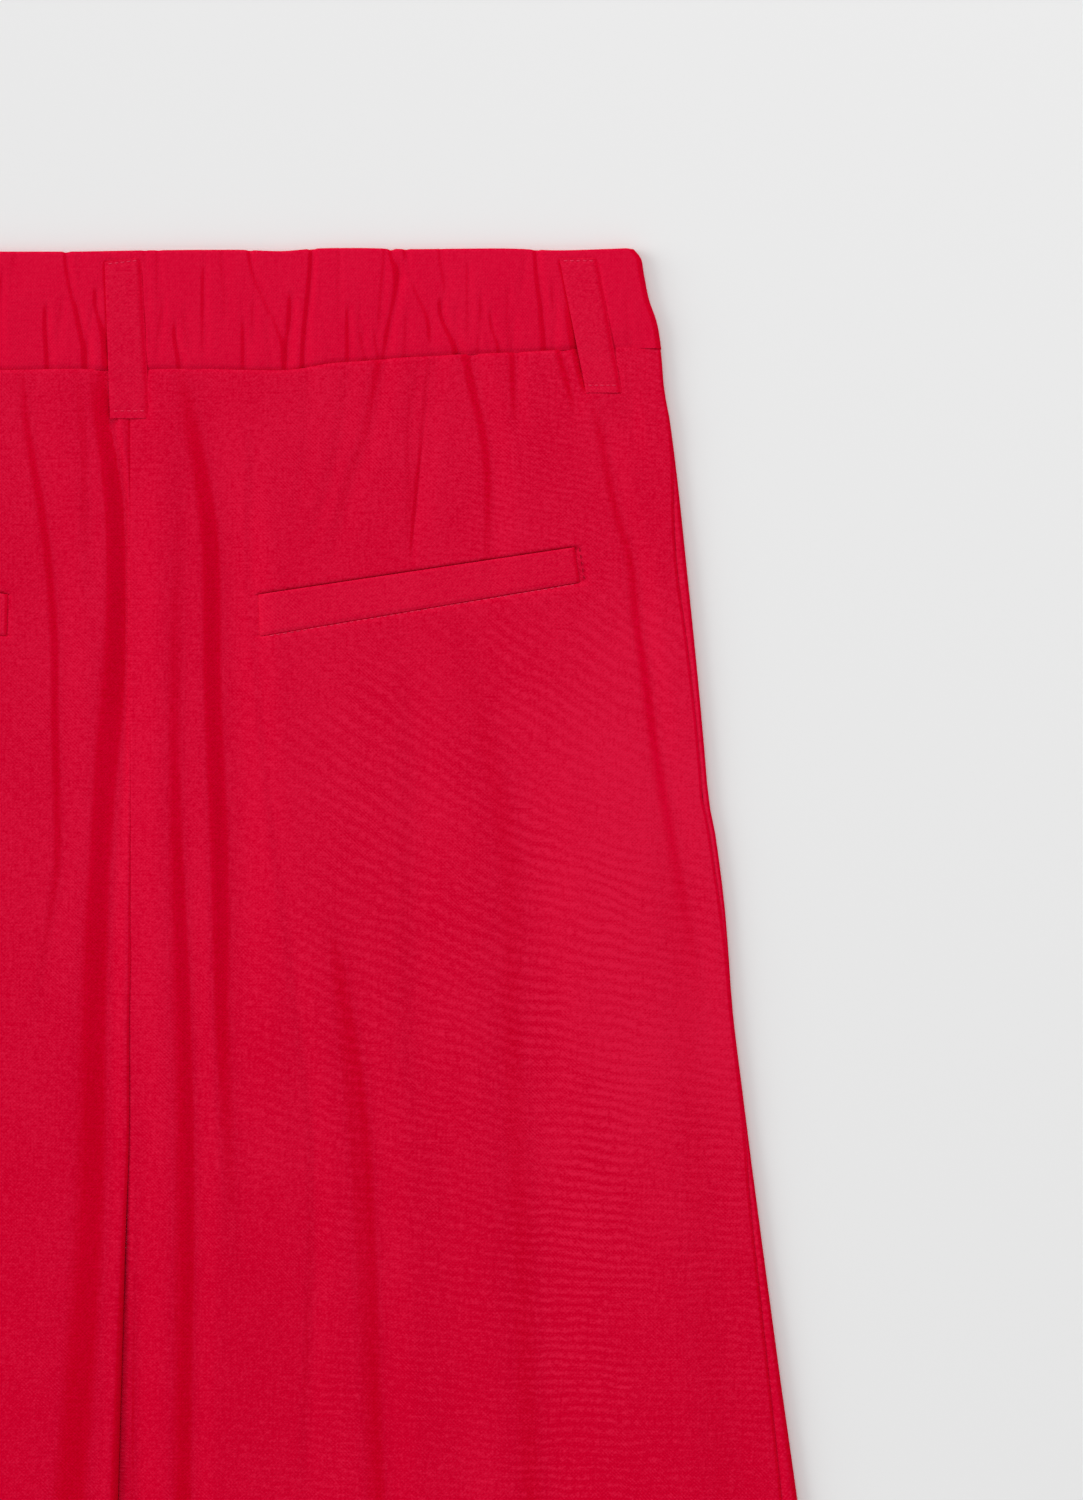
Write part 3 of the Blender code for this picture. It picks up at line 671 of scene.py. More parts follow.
@dataclass(frozen=True)
class Sheet:
    """A piece of cloth as rows and columns of points, with its place in the weave."""

    name: str
    points: np.ndarray
    grain: np.ndarray
    wall: float = CUT.wall
    edge_round: float = 0.0

    def sew(self, finish: "Linen", slot: Slot, *nodes: str) -> bpy.types.Object:
        """Bend a grid on to the points, give it a wall and dress it.

        Args:
            finish: The cloth's look.
            slot: The record's slot for that look; not used.
            nodes: Names of the solids that the piece stands for.

        Returns:
            The finished piece.
        """
        rows, columns = self.points.shape[:2]
        Workbench.clear_selection()
        bpy.ops.mesh.primitive_grid_add(x_subdivisions=columns - 1, y_subdivisions=rows - 1, size=2)
        piece = Workbench.added(self.name)
        mesh = piece.data
        flat = np.empty(len(mesh.vertices) * 3)
        mesh.vertices.foreach_get("co", flat)
        flat = flat.reshape(-1, 3)
        column = np.rint((flat[:, 0] + 1) / 2 * (columns - 1)).astype(int)
        row = np.rint((flat[:, 1] + 1) / 2 * (rows - 1)).astype(int)
        mesh.vertices.foreach_set("co", self.points[row, column].ravel())
        corner = np.empty(len(mesh.loops), dtype=int)
        mesh.loops.foreach_get("vertex_index", corner)
        weave = mesh.uv_layers[0]
        weave.name = WEAVE_MAP
        weave.data.foreach_set("uv", (self.grain[row, column][corner] * MM).ravel())
        wall = piece.modifiers.new("wall", "SOLIDIFY")
        wall.thickness = self.wall * MM
        wall.offset = 0.0
        if self.edge_round:
            rounding = piece.modifiers.new("edge", "BEVEL")
            rounding.width = self.edge_round * MM
            rounding.segments = 2
            rounding.limit_method = "ANGLE"
            rounding.angle_limit = BEVEL_ABOVE
        Workbench.apply_modifiers(piece)
        bpy.ops.object.shade_smooth_by_angle(angle=SMOOTH_BELOW)
        # The outside's lean to +X is stored for the material, which paints shade on the flanks that lean away
        # from the side light.
        normals = np.empty(len(piece.data.vertices) * 3)
        piece.data.vertex_normals.foreach_get("vector", normals)
        tilt = piece.data.attributes.new(TILT_MAP, "FLOAT", "POINT")
        tilt.data.foreach_set("value", normals[::3])
        piece.data.materials.append(finish.material())
        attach(piece, "root")
        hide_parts(*nodes)
        LOG.info("%s: %d vertices", self.name, len(piece.data.vertices))
        return piece


Laid = tuple[np.ndarray, np.ndarray]


@dataclass(frozen=True)
class TurnedEdge:
    """Cloth that is folded over at an edge and runs back inside."""

    layer: Layer
    radius: float
    edge: float
    around: float
    steps: int = 5
    first_step: float = 0.3

    def rows(self, outer: np.ndarray, inner: np.ndarray) -> np.ndarray:
        """Carry a sheet's last row round the fold and back along its inside.

        Args:
            outer: Rows of points that end at the fold.
            inner: Rows of the same surface, walking back from the fold.

        Returns:
            The rows to add after the outer ones.
        """
        radius = self.radius * MM
        normals = outside_normals(outer, self.layer)[-1]
        ahead = outer[-1] - outer[-2]
        ahead /= np.linalg.norm(ahead, axis=-1, keepdims=True)
        turns = np.linspace(0, math.pi, self.steps + 2)[1:-1]
        fold = [outer[-1] + radius * (ahead * math.sin(t) - normals * (1 - math.cos(t))) for t in turns]
        inside = inner - 2 * radius * outside_normals(inner, self.layer)
        inside[0] = outer[-1] - 2 * radius * normals
        return np.concatenate([np.array(fold), inside])

    def sheet(self, name: str, outer: Laid, inner: Laid) -> Sheet:
        """Make the whole sheet, outside and inside.

        Args:
            name: The piece's name.
            outer: Points and places in the weave, up to the fold.
            inner: The same for the rows that walk back from it.

        Returns:
            The sheet.
        """
        (points, grain), (inner_points, inner_grain) = outer, inner
        fold_grain = np.repeat(grain[-1:], self.steps, axis=0)
        first = math.copysign(self.first_step, self.around)
        fold_grain[..., 1] += np.linspace(first, self.around, self.steps)[:, None]
        inner_grain[..., 1] = 2 * self.edge - inner_grain[..., 1]
        points = np.concatenate([points, self.rows(points, inner_points)])
        return Sheet(name, points, np.concatenate([grain, fold_grain, inner_grain]))


@dataclass(frozen=True)
class WeltPlace:
    """Where a back pocket's welt lies, as (out, depth) corners, and the sewing round it."""

    top_inner: tuple[float, float] = (48.2, 129.2)
    top_outer: tuple[float, float] = (166.7, 111.5)
    bottom_inner: tuple[float, float] = (48.7, 144.8)
    bottom_outer: tuple[float, float] = (168.7, 124.6)
    end_stitch_top: tuple[float, float] = (168.5, 111.6)
    end_stitch_bottom: tuple[float, float] = (170.5, 124.4)
    seat: float = 0.55

    @staticmethod
    def line(start: tuple[float, float], end: tuple[float, float], out: Number) -> Number:
        """Depth on the line through two corners."""
        return start[1] + (out - start[0]) * (end[1] - start[1]) / (end[0] - start[0])

    def top_line(self, out: Number) -> Number:
        """Depth of the pocket's mouth, drawn on past both ends."""
        return self.line(self.top_inner, self.top_outer, out)

    def bottom_line(self, out: Number) -> Number:
        """Depth of the welt's seam, drawn on past both ends."""
        return self.line(self.bottom_inner, self.bottom_outer, out)

    def sink(self, out: np.ndarray, depth: np.ndarray) -> np.ndarray:
        """How far the panel gives way under the welt and at its edges.

        Args:
            out: Distances from the centre line.
            depth: Depths below the waistband's top.

        Returns:
            The depth of the hollow at each point.
        """
        below_top = depth - self.top_line(out)
        above_bottom = self.bottom_line(out) - depth
        middle = (self.top_outer[0] + self.bottom_outer[0]) / 2
        inside = ease((out - self.top_inner[0]) / 0.7 + 1) * ease((middle - out) / 0.7 + 1)
        under = ease(below_top / 0.5 + 0.8) * ease(above_bottom / 0.5 + 0.8) * inside
        ditches = (
            Ditch(self.top_inner, self.top_outer, 1.1, 1.1, 0.6),
            Ditch(self.bottom_inner, self.bottom_outer, 1.2, 0.35, 0.6),
            Ditch(self.top_inner, self.bottom_inner, 0.9, 0.1, 0.4),
            Ditch(self.top_outer, self.bottom_outer, 0.9, 0.4, 0.4),
            Ditch(self.end_stitch_top, self.end_stitch_bottom, 0.95, 0.6, 0.4),
        )
        return self.seat * under + sum(ditch.depth_at(out, depth) for ditch in ditches)


PULL_AT_SIDE = 0.2
PULL_IN_MIDDLE = 0.8
PULL_EASES_AT = 176.0
PULL_EASES_OVER = 12.0


def seam_pull(x: np.ndarray) -> np.ndarray:
    """How strongly the waist seam pulls the cloth in, weaker towards the sides."""
    inside = ease((PULL_EASES_AT - abs(x)) / PULL_EASES_OVER)
    return PULL_AT_SIDE + (PULL_IN_MIDDLE - PULL_AT_SIDE) * inside


WELT = WeltPlace()
DART = Ditch(start=(112.5, 42.0), end=(105.8, 113.0), half_width=1.1, sink=0.3, fade=6.0)


@dataclass(frozen=True)
class Panel:
    """A leg's back or front, as rows and columns that follow its seams and its sewing."""

    leg: LegForm
    layer: Layer
    waist_seam: Profile
    middle_columns: int
    upper_pitch: float
    lower_pitch: float
    level_row: float = 330.0
    fine_until: float = 480.0
    dart_column: float = 0.55
    dart_share: Profile = Profile(((38, 0.575), (48, 0.568), (116, 0.512), (260, 0.51), (1050, 0.55)))
    roll_steps: tuple[float, ...] = (0.0, 0.05, 0.12, 0.24, 0.38, 0.54, 0.7, 0.86, 1.0)
    roll_span: float = 2.9
    both_rolls: float = 5.2
    turn_radius: float = 0.55
    turn_around: float = 1.7
    waist: float = 45.2
    flat: tuple[float, float] = (0.345, 1.03)
    area: float = 0.272

    @property
    def name(self) -> str:
        """The node's name."""
        return f"{self.layer.name.lower()}_{self.leg.name}"

    def row_places(self) -> np.ndarray:
        """Nominal depths of the rows on the centre line, closest beside the seams."""
        waist, pitch, stitch = self.waist, self.upper_pitch, CUT.length - CUT.hem_stitch
        mouth, seam = WELT.top_line(0.0), WELT.bottom_line(0.0)
        upper = [np.arange(waist + 9, self.fine_until, pitch)]
        if self.layer is Layer.BACK:
            upper = [
                np.arange(waist + 8, mouth - 3.4, pitch),
                mouth + np.array([-2.6, -1.4, -0.7, -0.3, 0.0, 0.3, 0.9, 2.4]),
                np.arange(mouth + 5, seam - 3.4, pitch),
                seam + np.array([-2.2, -1.1, -0.5, 0.0, 0.5, 1.1, 2.4]),
                np.arange(seam + 5, self.fine_until, pitch),
            ]
        return np.concatenate([
            waist + np.array([0.0, 0.35, 0.8, 1.4, 2.3, 3.6, 5.4]),
            *upper,
            np.arange(self.fine_until, stitch - 6, self.lower_pitch),
            stitch + np.array([-4.0, -1.4, -0.7, 0.0, 0.7, 1.4, 4.5]),
            CUT.length - np.array([12, 6, 2.5, 1.0]),
        ])

    def row_depths(self, nominal: np.ndarray, out: np.ndarray, across: np.ndarray) -> np.ndarray:
        """Lean the rows from the waist seam's line over the welt's lines to the hem's.

        Args:
            nominal: The rows' depths on the centre line.
            out: Distances from the centre line.
            across: The same as shares of the leg's width.

        Returns:
            Depths for every row and column.
        """
        aside = out - self.leg.welt_shift
        hem_lean = CUT.hem(across) - CUT.length
        guides = [
            (self.waist, self.waist_seam.at(out) + CUT.seam_gap / 2 - self.waist),
            *((line(0.0), line(aside) - line(0.0)) for line in (WELT.top_line, WELT.bottom_line)),
            (self.level_row, 0.0 * out),
            (CUT.length - CUT.hem_turn_up, hem_lean),
            (CUT.length, hem_lean),
        ]
        lean = np.broadcast_to(hem_lean, np.broadcast_shapes(nominal.shape, out.shape)).copy()
        for (upper, from_lean), (lower, to_lean) in zip(guides, guides[1:]):
            share = np.clip((nominal - upper) / (lower - upper), 0, 1)
            between = (nominal >= upper) & (nominal <= lower)
            lean = np.where(between, from_lean + (to_lean - from_lean) * share, lean)
        return nominal + lean

    def columns(self) -> np.ndarray:
        """Shares of the middle columns, with extra ones on both sides of the dart."""
        even = np.linspace(0, 1, self.middle_columns + 2)[1:-1]
        if self.layer is Layer.FRONT:
            return even
        dart = self.dart_column + np.array([-0.012, -0.006, -0.003, 0.0, 0.003, 0.006, 0.012])
        even = even[abs(even - self.dart_column) > 0.015]
        return np.sort(np.concatenate([even, dart]))

    def slide(self, shares: np.ndarray, depth: np.ndarray) -> np.ndarray:
        """Slide the columns aside, so that one of them follows the dart.

        Args:
            shares: Shares of the leg's width.
            depth: Depths below the waistband's top.

        Returns:
            The shares where the columns run at those depths.
        """
        dart = self.dart_share.at(depth)
        beyond = (1 - shares) / (1 - self.dart_column)
        return np.where(shares < self.dart_column, shares / self.dart_column * dart, 1 - beyond * (1 - dart))

    def lay(self, nominal: np.ndarray) -> tuple[np.ndarray, np.ndarray]:
        """Lay the cloth out.

        Args:
            nominal: The rows' depths on the centre line.

        Returns:
            Points in metres, and places in the weave in millimetres.
        """
        middle = self.columns()
        steps = np.array(self.roll_steps)
        shares = np.concatenate([np.zeros(len(steps)), middle, np.ones(len(steps))])[None, :]
        nominal = nominal[:, None]
        depth = nominal + 0 * shares
        for _ in range(3):
            edge = CUT.side_edge.at(depth)
            slid = self.roll_span + (edge - self.both_rolls) * self.slide(shares, depth)
            out = np.where(shares * (1 - shares) > 0, slid, shares * edge)
            depth = self.row_depths(nominal, out, shares)
        section = LegSection(self.leg, depth)
        back = self.layer is Layer.BACK
        whole = section.back_length() if back else section.front_length()
        wrap = self.roll_span if back else CUT.side_roll * math.pi / 2 + section.seam_run + 1.0
        span = np.maximum(section.round_inner, self.roll_span)
        run = span + (whole - wrap - span) * self.slide(shares, depth)
        first, last = len(steps), len(steps) + len(middle)
        run[:, :first] = (span * steps)[:, :first] if span.shape[1] == 1 else span[:, :first] * steps
        wraps = np.broadcast_to(wrap, run.shape)[:, last:]
        side_steps = steps[::-1] if back else np.linspace(1, 0, len(steps))
        run[:, last:] = whole[:, last:] - wraps * side_steps
        out, height = section.back(run) if back else section.front(run)
        points = world(self.leg.sign * out, depth, height)
        sink = self.sink(out, depth, run, whole - run, shares)
        points -= outside_normals(points, self.layer) * sink[..., None] * MM
        grain = np.stack([self.leg.sign * run, depth], axis=-1)
        return points, grain

    def sink(
        self, out: np.ndarray, depth: np.ndarray, from_inner: np.ndarray, from_side: np.ndarray,
        across: np.ndarray,
    ) -> np.ndarray:
        """How far sewing pulls the cloth in along its normal.

        Args:
            out: Distances from the centre line.
            depth: Depths below the waistband's top.
            from_inner: Lengths of cloth from the inner seam.
            from_side: Lengths of cloth to the side seam.
            across: Shares of the leg's width.

        Returns:
            The depth of the ditches at each point.
        """
        below_waist = depth - self.waist_seam.at(out)
        at_stitch = CUT.hem(across) - CUT.hem_stitch - depth
        above_curl = 1 - CUT.inner_turn.at(depth)
        if self.layer is Layer.FRONT:
            calm = ease((from_side - 8) / 20) * ease(from_inner / 10)
            creases = calm * sum(fold.relief(out, depth) for fold in FRONT_FOLDS)
            seams = above_curl * grooves(from_inner, (0.3, 1.0))
            seams = seams + grooves(from_side, (0.35, 0.9), (0.35, 4.0))
            return creases + seams + grooves(below_waist, (0.3, 1.2)) + grooves(at_stitch, (0.3, 1.3))
        aside = out - self.leg.welt_shift
        seams = above_curl * grooves(from_inner, (0.22, 0.8), (0.1, 3.0))
        seams = seams + grooves(from_side, (0.3, 0.8), (0.1, 4.0)) + grooves(at_stitch, (0.25, 1.3))
        seams = seams + seam_pull(out) * grooves(below_waist, (0.5, 1.0), (0.15, 5.0))
        seams = seams + sum(loop.seat(self.leg.sign * out, depth) for loop in LOOPS)
        return seams + DART.depth_at(aside, depth) + WELT.sink(aside, depth)

    def build(self, finish: "Linen") -> bpy.types.Object:
        """Make the panel, with its hem turned up inside.

        Args:
            finish: The cloth's look.

        Returns:
            The finished piece.
        """
        inside = self.lay(CUT.length - np.array([1.0, 4.0, 10.0, 17.0, CUT.hem_turn_up]))
        hem = TurnedEdge(self.layer, self.turn_radius, CUT.length, self.turn_around)
        sheet = hem.sheet(self.name + "_panel", self.lay(self.row_places()), inside)
        piece = sheet.sew(finish, Slot.PANELS, self.name)
        return piece


@dataclass(frozen=True)
class LoopPlace:
    """A belt loop's two ends: middle, depth and width of each."""

    name: str
    x_top: float
    depth_top: float
    width_top: float
    x_bottom: float
    depth_bottom: float
    width_bottom: float
    tilt_top: float = 0.0
    hollow: Profile = Profile(((2, 0.0), (18, 0.2), (32, 0.8), (43, 1.3), (52, 0.8), (57, 0)))
    held_down: float = 0.85

    @property
    def length(self) -> float:
        """Distance in depth between the two ends."""
        return self.depth_bottom - self.depth_top

    def middle(self, share: Number) -> Number:
        """Place of the middle, at a share of the way down."""
        return self.x_top + (self.x_bottom - self.x_top) * share

    def width(self, share: Number) -> Number:
        """Width at a share of the way down."""
        return self.width_top + (self.width_bottom - self.width_top) * share

    def depth(self, share: Number) -> Number:
        """Depth at a share of the way down."""
        return self.depth_top + self.length * share

    def seat(self, x: np.ndarray, depth: np.ndarray) -> np.ndarray:
        """How far the loop holds down the cloth under it, with a hollow beside its left edge.

        Args:
            x: Places towards the wearer's right.
            depth: Depths below the waistband's top.

        Returns:
            The hollow's depth at each point.
        """
        share = (depth - self.depth_top) / self.length
        half = self.width(np.clip(share, 0, 1)) / 2
        aside = x - self.middle(share)
        held = ease((half - 0.5 - abs(aside)) / 0.8 + 1)
        held = held * ease((depth - self.depth_top) / 1.6) * ease((self.depth_bottom - depth) / 2.4)
        hollow = self.hollow.at(depth) * bump((aside + half + 0.4) / 2.4)
        return self.held_down * held + hollow


LOOPS = (
    LoopPlace(
        "belt_loop_back", -2.6, 3.7, 13.8, 0.0, 63.2, 15.0, tilt_top=-1.7,
        hollow=Profile(((0, 0.1), (20, 0.15), (42, 0.5), (58, 0.5), (66, 0))),
    ),
    LoopPlace("belt_loop_side_right", 168.2, 3.2, 14.5, 177.8, 53.6, 13.4),
    LoopPlace("belt_loop_side_left", -168.2, 3.2, 14.5, -177.8, 53.6, 13.4),
)


@dataclass(frozen=True)
class Waistband:
    """The elastic back half and the plain front half, each folded over at the top."""

    back_height: float = 4.5
    back_fold: float = 0.6
    front_fold: float = 0.5
    fold_around: float = 1.6
    swelling: float = 0.35
    gather_depth: float = 0.62
    side_depth: float = 37.0
    fullness: float = 1.25
    back_columns: int = 500
    front_columns: int = 80
    top_edge: Profile = Profile((
        (-195, 0.6), (-150, -0.3), (-90, 0.3), (-49, 0.5), (-26, 0.5), (7.5, 0), (40, -0.2), (56, 0.3),
        (70, -0.7), (86, -0.9), (105, -0.5), (139, -0.8), (161, -0.1), (178, -0.6), (192, -1.1),
    ))

    def bulge(self, depth: np.ndarray, seam: np.ndarray) -> np.ndarray:
        """The elastic casing's slight swelling between its fold and its seam."""
        share = np.clip(depth / seam, 0, 1)
        return self.swelling * np.sin(math.pi * share**0.8)

    def height(self, x: np.ndarray, depth: np.ndarray) -> np.ndarray:
        """Middle height of the back half's outer cloth.

        Args:
            x: Places across the waistband.
            depth: Depths below its top.

        Returns:
            The height at each point.
        """
        seam = CUT.waist_seam.at(abs(x))
        height = self.back_height + self.bulge(depth, seam)
        gathers = sum(gather.relief(x, depth) for gather in BAND_GATHERS + SMALL_GATHERS)
        height = height + self.gather_depth * gathers
        to_seam = seam - depth
        level = 0.5 * ease((abs(x) - 172) / 12) * ease(1 - to_seam / 9)
        return height - level - seam_pull(x) * grooves(to_seam, (0.8, 1.5), (0.25, 5.0))

    def lay(self, layer: Layer, share: np.ndarray) -> tuple[np.ndarray, np.ndarray]:
        """Lay the waistband's outer cloth out, from side seam to side seam.

        Args:
            layer: Back or front.
            share: Rows as shares of the way from the top fold to the waist seam.

        Returns:
            Points in metres, and places in the weave in millimetres.
        """
        back = layer is Layer.BACK
        fold = self.back_fold if back else self.front_fold
        seam_line = CUT.waist_seam if back else CUT.front_waist_seam
        columns = self.back_columns if back else self.front_columns
        roll = (self.back_height - CUT.ground) / 2
        around = np.linspace(math.pi / 2 - CUT.seam_gap / 2 / roll, 0.0, 8)[None, :-1]
        flat = np.linspace(-1, 1, columns + 1)[None, :]
        down = share[:, None]
        rough = CUT.side_edge.at(down * self.side_depth) - CUT.wall / 2 - roll
        x = np.concatenate([0 * around - rough, flat * rough, 0 * around + rough], axis=1)
        turn = np.concatenate([around, 0 * flat, around[:, ::-1]], axis=1)
        reach = abs(x) + roll * np.sin(turn)
        notches = sum(gather.notch(x) for gather in BAND_GATHERS)
        start = self.top_edge.at(x) + notches + fold + CUT.wall / 2
        depth = start + (seam_line.at(reach) - CUT.seam_gap / 2 - start) * down
        if back:
            calm = ease((rough - abs(x)) / 8)
            height = self.back_height + calm * (self.height(x, depth) - self.back_height)
            height = height - roll * (1 - np.cos(turn)) - sum(loop.seat(x, depth) for loop in LOOPS)
        else:
            to_seam = seam_line.at(reach) - depth
            height = CUT.ground + roll * (1 - np.cos(turn)) + grooves(to_seam, (0.3, 1.3)) * (turn == 0)
        place = x + np.sign(x) * roll * np.sin(turn)
        grain = np.stack([np.sign(x) * (abs(x) * self.fullness + roll * turn), depth], axis=-1)
        return world(place, depth, height), grain

    def build(self, layer: Layer, finish: "Linen") -> bpy.types.Object:
        """Make one half, folded over at the top and back down inside.

        Args:
            layer: Back or front.
            finish: The cloth's look.

        Returns:
            The finished piece.
        """
        back = layer is Layer.BACK
        near_fold, near_seam = [0.0, 0.012, 0.03, 0.055, 0.09], [0.92, 0.95, 0.972, 0.988, 1.0]
        share = np.concatenate([near_fold, np.linspace(0.13, 0.88, 19 if back else 8), near_seam])
        inside = self.lay(layer, np.array([0.0, 0.05, 0.2, 0.4, 0.6, 0.8, 0.97]))
        top = TurnedEdge(layer, self.back_fold if back else self.front_fold, 0.0, -self.fold_around)
        node = f"waistband_{layer.name.lower()}"
        sheet = top.sheet(node + "_casing", self.lay(layer, share[::-1]), inside)
        piece = sheet.sew(finish, Slot.WAISTBAND, node)
        return piece


WAISTBAND = Waistband()


def top_of_cloth(x: np.ndarray, depth: np.ndarray) -> np.ndarray:
    """Height of the outer face of the back, which loops are laid on.

    Args:
        x: Places towards the wearer's right.
        depth: Depths below the waistband's top.

    Returns:
        The height at each point.
    """
    on_panel = np.where(x < 0, LEFT_LEG.height(-x, depth), RIGHT_LEG.height(x, depth))
    on_band = WAISTBAND.height(x, depth)
    return np.where(depth < CUT.waist_seam.at(abs(x)), on_band, on_panel) + CUT.wall / 2


@dataclass(frozen=True)
class BeltLoop:
    """A strip folded to several layers, stitched down at both ends."""

    place: LoopPlace
    wall: float = 0.95
    arch: float = 0.15
    clearance: float = 0.08
    rows: int = 46
    columns: int = 13
    top_stitch: float = 0.9
    bottom_stitch: float = 2.9
    bridging: int = 6
    cloth_over_depth: float = 1.03

    def bed(self, share: np.ndarray) -> np.ndarray:
        """Height of the cloth that the strip lies on, smoothed along its length.

        Args:
            share: Shares of the way from the top end to the bottom end.

        Returns:
            The height at each share.
        """
        loop, reach = self.place, self.bridging
        fine = np.linspace(0, 1, 121)[:, None]
        wide = np.linspace(-0.5, 0.5, 15)[None, :]
        cloth = top_of_cloth(loop.middle(fine) + wide * loop.width(fine), loop.depth(fine) + 0 * wide)
        level = (0.6 * cloth.max(axis=1) + 0.4 * cloth.mean(axis=1)) - loop.held_down
        highest = np.max([np.roll(level, k)[reach:-reach] for k in range(-reach, reach + 1)], axis=0)
        highest = np.pad(highest, reach, mode="edge")
        soft = np.convolve(np.pad(highest, 5, mode="edge"), np.ones(11) / 11, mode="valid")
        return np.interp(share, fine[:, 0], soft)

    def surface(self, share: np.ndarray, across: np.ndarray) -> tuple[np.ndarray, np.ndarray, np.ndarray]:
        """Place the strip's middle surface.

        Args:
            share: Shares of the way from the top end to the bottom end.
            across: Shares of the width from -0.5 to 0.5.

        Returns:
            x, depth and height of each point.
        """
        loop = self.place
        from_top, from_bottom = share * loop.length, (1 - share) * loop.length
        height = self.bed(share) + self.clearance + self.wall / 2
        height = height + self.arch * np.sin(math.pi * share) ** 2
        height = height - grooves(from_top - self.top_stitch, (0.18, 1.3))
        height = height - grooves(from_bottom - self.bottom_stitch, (0.18, 1.5))
        height = height - 0.15 * ease(1 - from_bottom / 5.0)
        right_side = across > 0
        edge = (0.5 - abs(across)) / np.where(right_side, 0.16, 0.09)
        height = height - np.where(right_side, 0.42, 0.16) * bump(edge)
        x = loop.middle(share) + across * loop.width(share)
        return x, loop.depth(share) + loop.tilt_top * across * (1 - share), height

    def build(self, finish: "Linen") -> bpy.types.Object:
        """Make the loop.

        Args:
            finish: The cloth's look.

        Returns:
            The finished piece.
        """
        ends = np.array([0.0, 0.008, 0.02])
        share = np.concatenate([ends, np.linspace(0.035, 0.965, self.rows), 1 - ends[::-1]])[:, None]
        edge = np.array([-0.5, -0.485, -0.46])
        middle = np.linspace(-0.42, 0.42, self.columns)
        across = np.concatenate([edge, middle, -edge[::-1]])[None, :]
        x, depth, height = self.surface(share, across)
        grain = np.stack(np.broadcast_arrays(across * 14.0 + 300 + self.place.x_top, depth * 1.0), axis=-1)
        sheet = Sheet(self.place.name + "_strip", world(x, depth, height), grain, self.wall, 0.3)
        piece = sheet.sew(finish, Slot.TRIM, self.place.name)
        self.place.width(0.5) * MM
        return piece

    def stitches(self, thread: "SewingThread") -> None:
        """Sew both ends down.

        Args:
            thread: The thread's look.
        """
        length = self.place.length
        lines = {"top": self.top_stitch / length, "bottom": 1 - self.bottom_stitch / length}
        across = np.linspace(-0.4, 0.42, 30)
        for end, share in lines.items():
            x, depth, height = self.surface(np.full(30, share), across)
            points = world(x, depth, height + self.wall / 2 + 0.02)
            StitchLine(f"{self.place.name}_{end}_stitches", points, 1.5, 0.6, 0.19).build(thread)


@dataclass(frozen=True)
class PocketWelt:
    """The folded strip of a single-welt pocket."""

    leg: LegForm
    lift: float = 0.3
    length: float = 120.0
    width: float = 15.0
    rows: int = 12
    columns: int = 84

    def surface(self, run: np.ndarray, down: np.ndarray) -> tuple[np.ndarray, np.ndarray, np.ndarray]:
        """Place the welt's middle surface.

        Args:
            run: Shares of the way from the inner end to the outer end.
            down: Shares of the way from the mouth to the seam.

        Returns:
            out, depth and height of each point.
        """
        corners = [WELT.top_inner, WELT.top_outer, WELT.bottom_inner, WELT.bottom_outer]
        top_inner, top_outer, bottom_inner, bottom_outer = np.array(corners)
        run, down = np.broadcast_arrays(run, down)
        top = top_inner + (top_outer - top_inner) * run[..., None]
        bottom = bottom_inner + (bottom_outer - bottom_inner) * run[..., None]
        place = top + (bottom - top) * down[..., None]
        out, depth = place[..., 0], place[..., 1]
        height = self.leg.height(out + self.leg.welt_shift, depth) + self.lift
        height = height - grooves(down * self.width, (0.3, 0.7))
        height = height - grooves((1 - down) * self.width, (0.38, 1.2))
        height = height - grooves(np.minimum(run, 1 - run) * self.length, (0.35, 0.9))
        return out + self.leg.welt_shift, depth, height

    def build(self, finish: "Linen") -> bpy.types.Object:
        """Make the welt.

        Args:
            finish: The cloth's look.

        Returns:
            The finished piece.
        """
        end = np.array([0.0, 0.003, 0.007])
        run = np.concatenate([end, np.linspace(0.013, 0.987, self.columns), 1 - end[::-1]])[None, :]
        edge = np.array([0.0, 0.025, 0.055])
        down = np.concatenate([edge, np.linspace(0.1, 0.9, self.rows), 1 - edge[::-1]])[:, None]
        out, depth, height = self.surface(run, down)
        points = world(self.leg.sign * out, depth, height)
        grain = np.stack(np.broadcast_arrays(run * self.length + 500, down * 15.5), axis=-1)
        node = f"pocket_welt_{self.leg.name}"
        piece = Sheet(node + "_strip", points, grain, CUT.wall, 0.22).sew(finish, Slot.TRIM, node)
        return piece

    def stitches(self, thread: "SewingThread") -> None:
        """Sew along the seam and beside the outer end.

        Args:
            thread: The thread's look.
        """
        run = np.linspace(0.03, 0.99, 90)
        out = WELT.bottom_inner[0] + (WELT.bottom_outer[0] - WELT.bottom_inner[0]) * run
        depth = WELT.bottom_line(out) + 0.5
        below = 0.06 + 0.2 * ease((run - 0.13) / 0.03) * (0.8 + 0.3 * np.sin(run * 47))
        self.sew_line("seam", out, depth, below, thread)
        share = np.linspace(0, 1, 12)
        (x0, d0), (x1, d1) = WELT.end_stitch_top, WELT.end_stitch_bottom
        # The end's stitches use the thread painted dark, as painted shade.
        self.sew_line("end", x0 + (x1 - x0) * share, d0 + (d1 - d0) * share, 0.0 * share, SHADE_PAINTED_THREAD)

    def sew_line(
        self, part: str, out: np.ndarray, depth: np.ndarray, below: np.ndarray, thread: "SewingThread",
    ) -> None:
        """Lay one line of stitches on the panel.

        Args:
            part: Which line this is.
            out: Distances from the centre line.
            depth: Depths below the waistband's top.
            below: How far the thread sinks under the panel's outer face.
            thread: The thread's look.
        """
        height = self.leg.height(out + self.leg.welt_shift, depth) + CUT.wall / 2 - below
        points = world(self.leg.sign * (out + self.leg.welt_shift), depth, height)
        StitchLine(f"pocket_welt_{self.leg.name}_{part}_stitches", points, 1.7, 0.8, 0.15).build(thread)


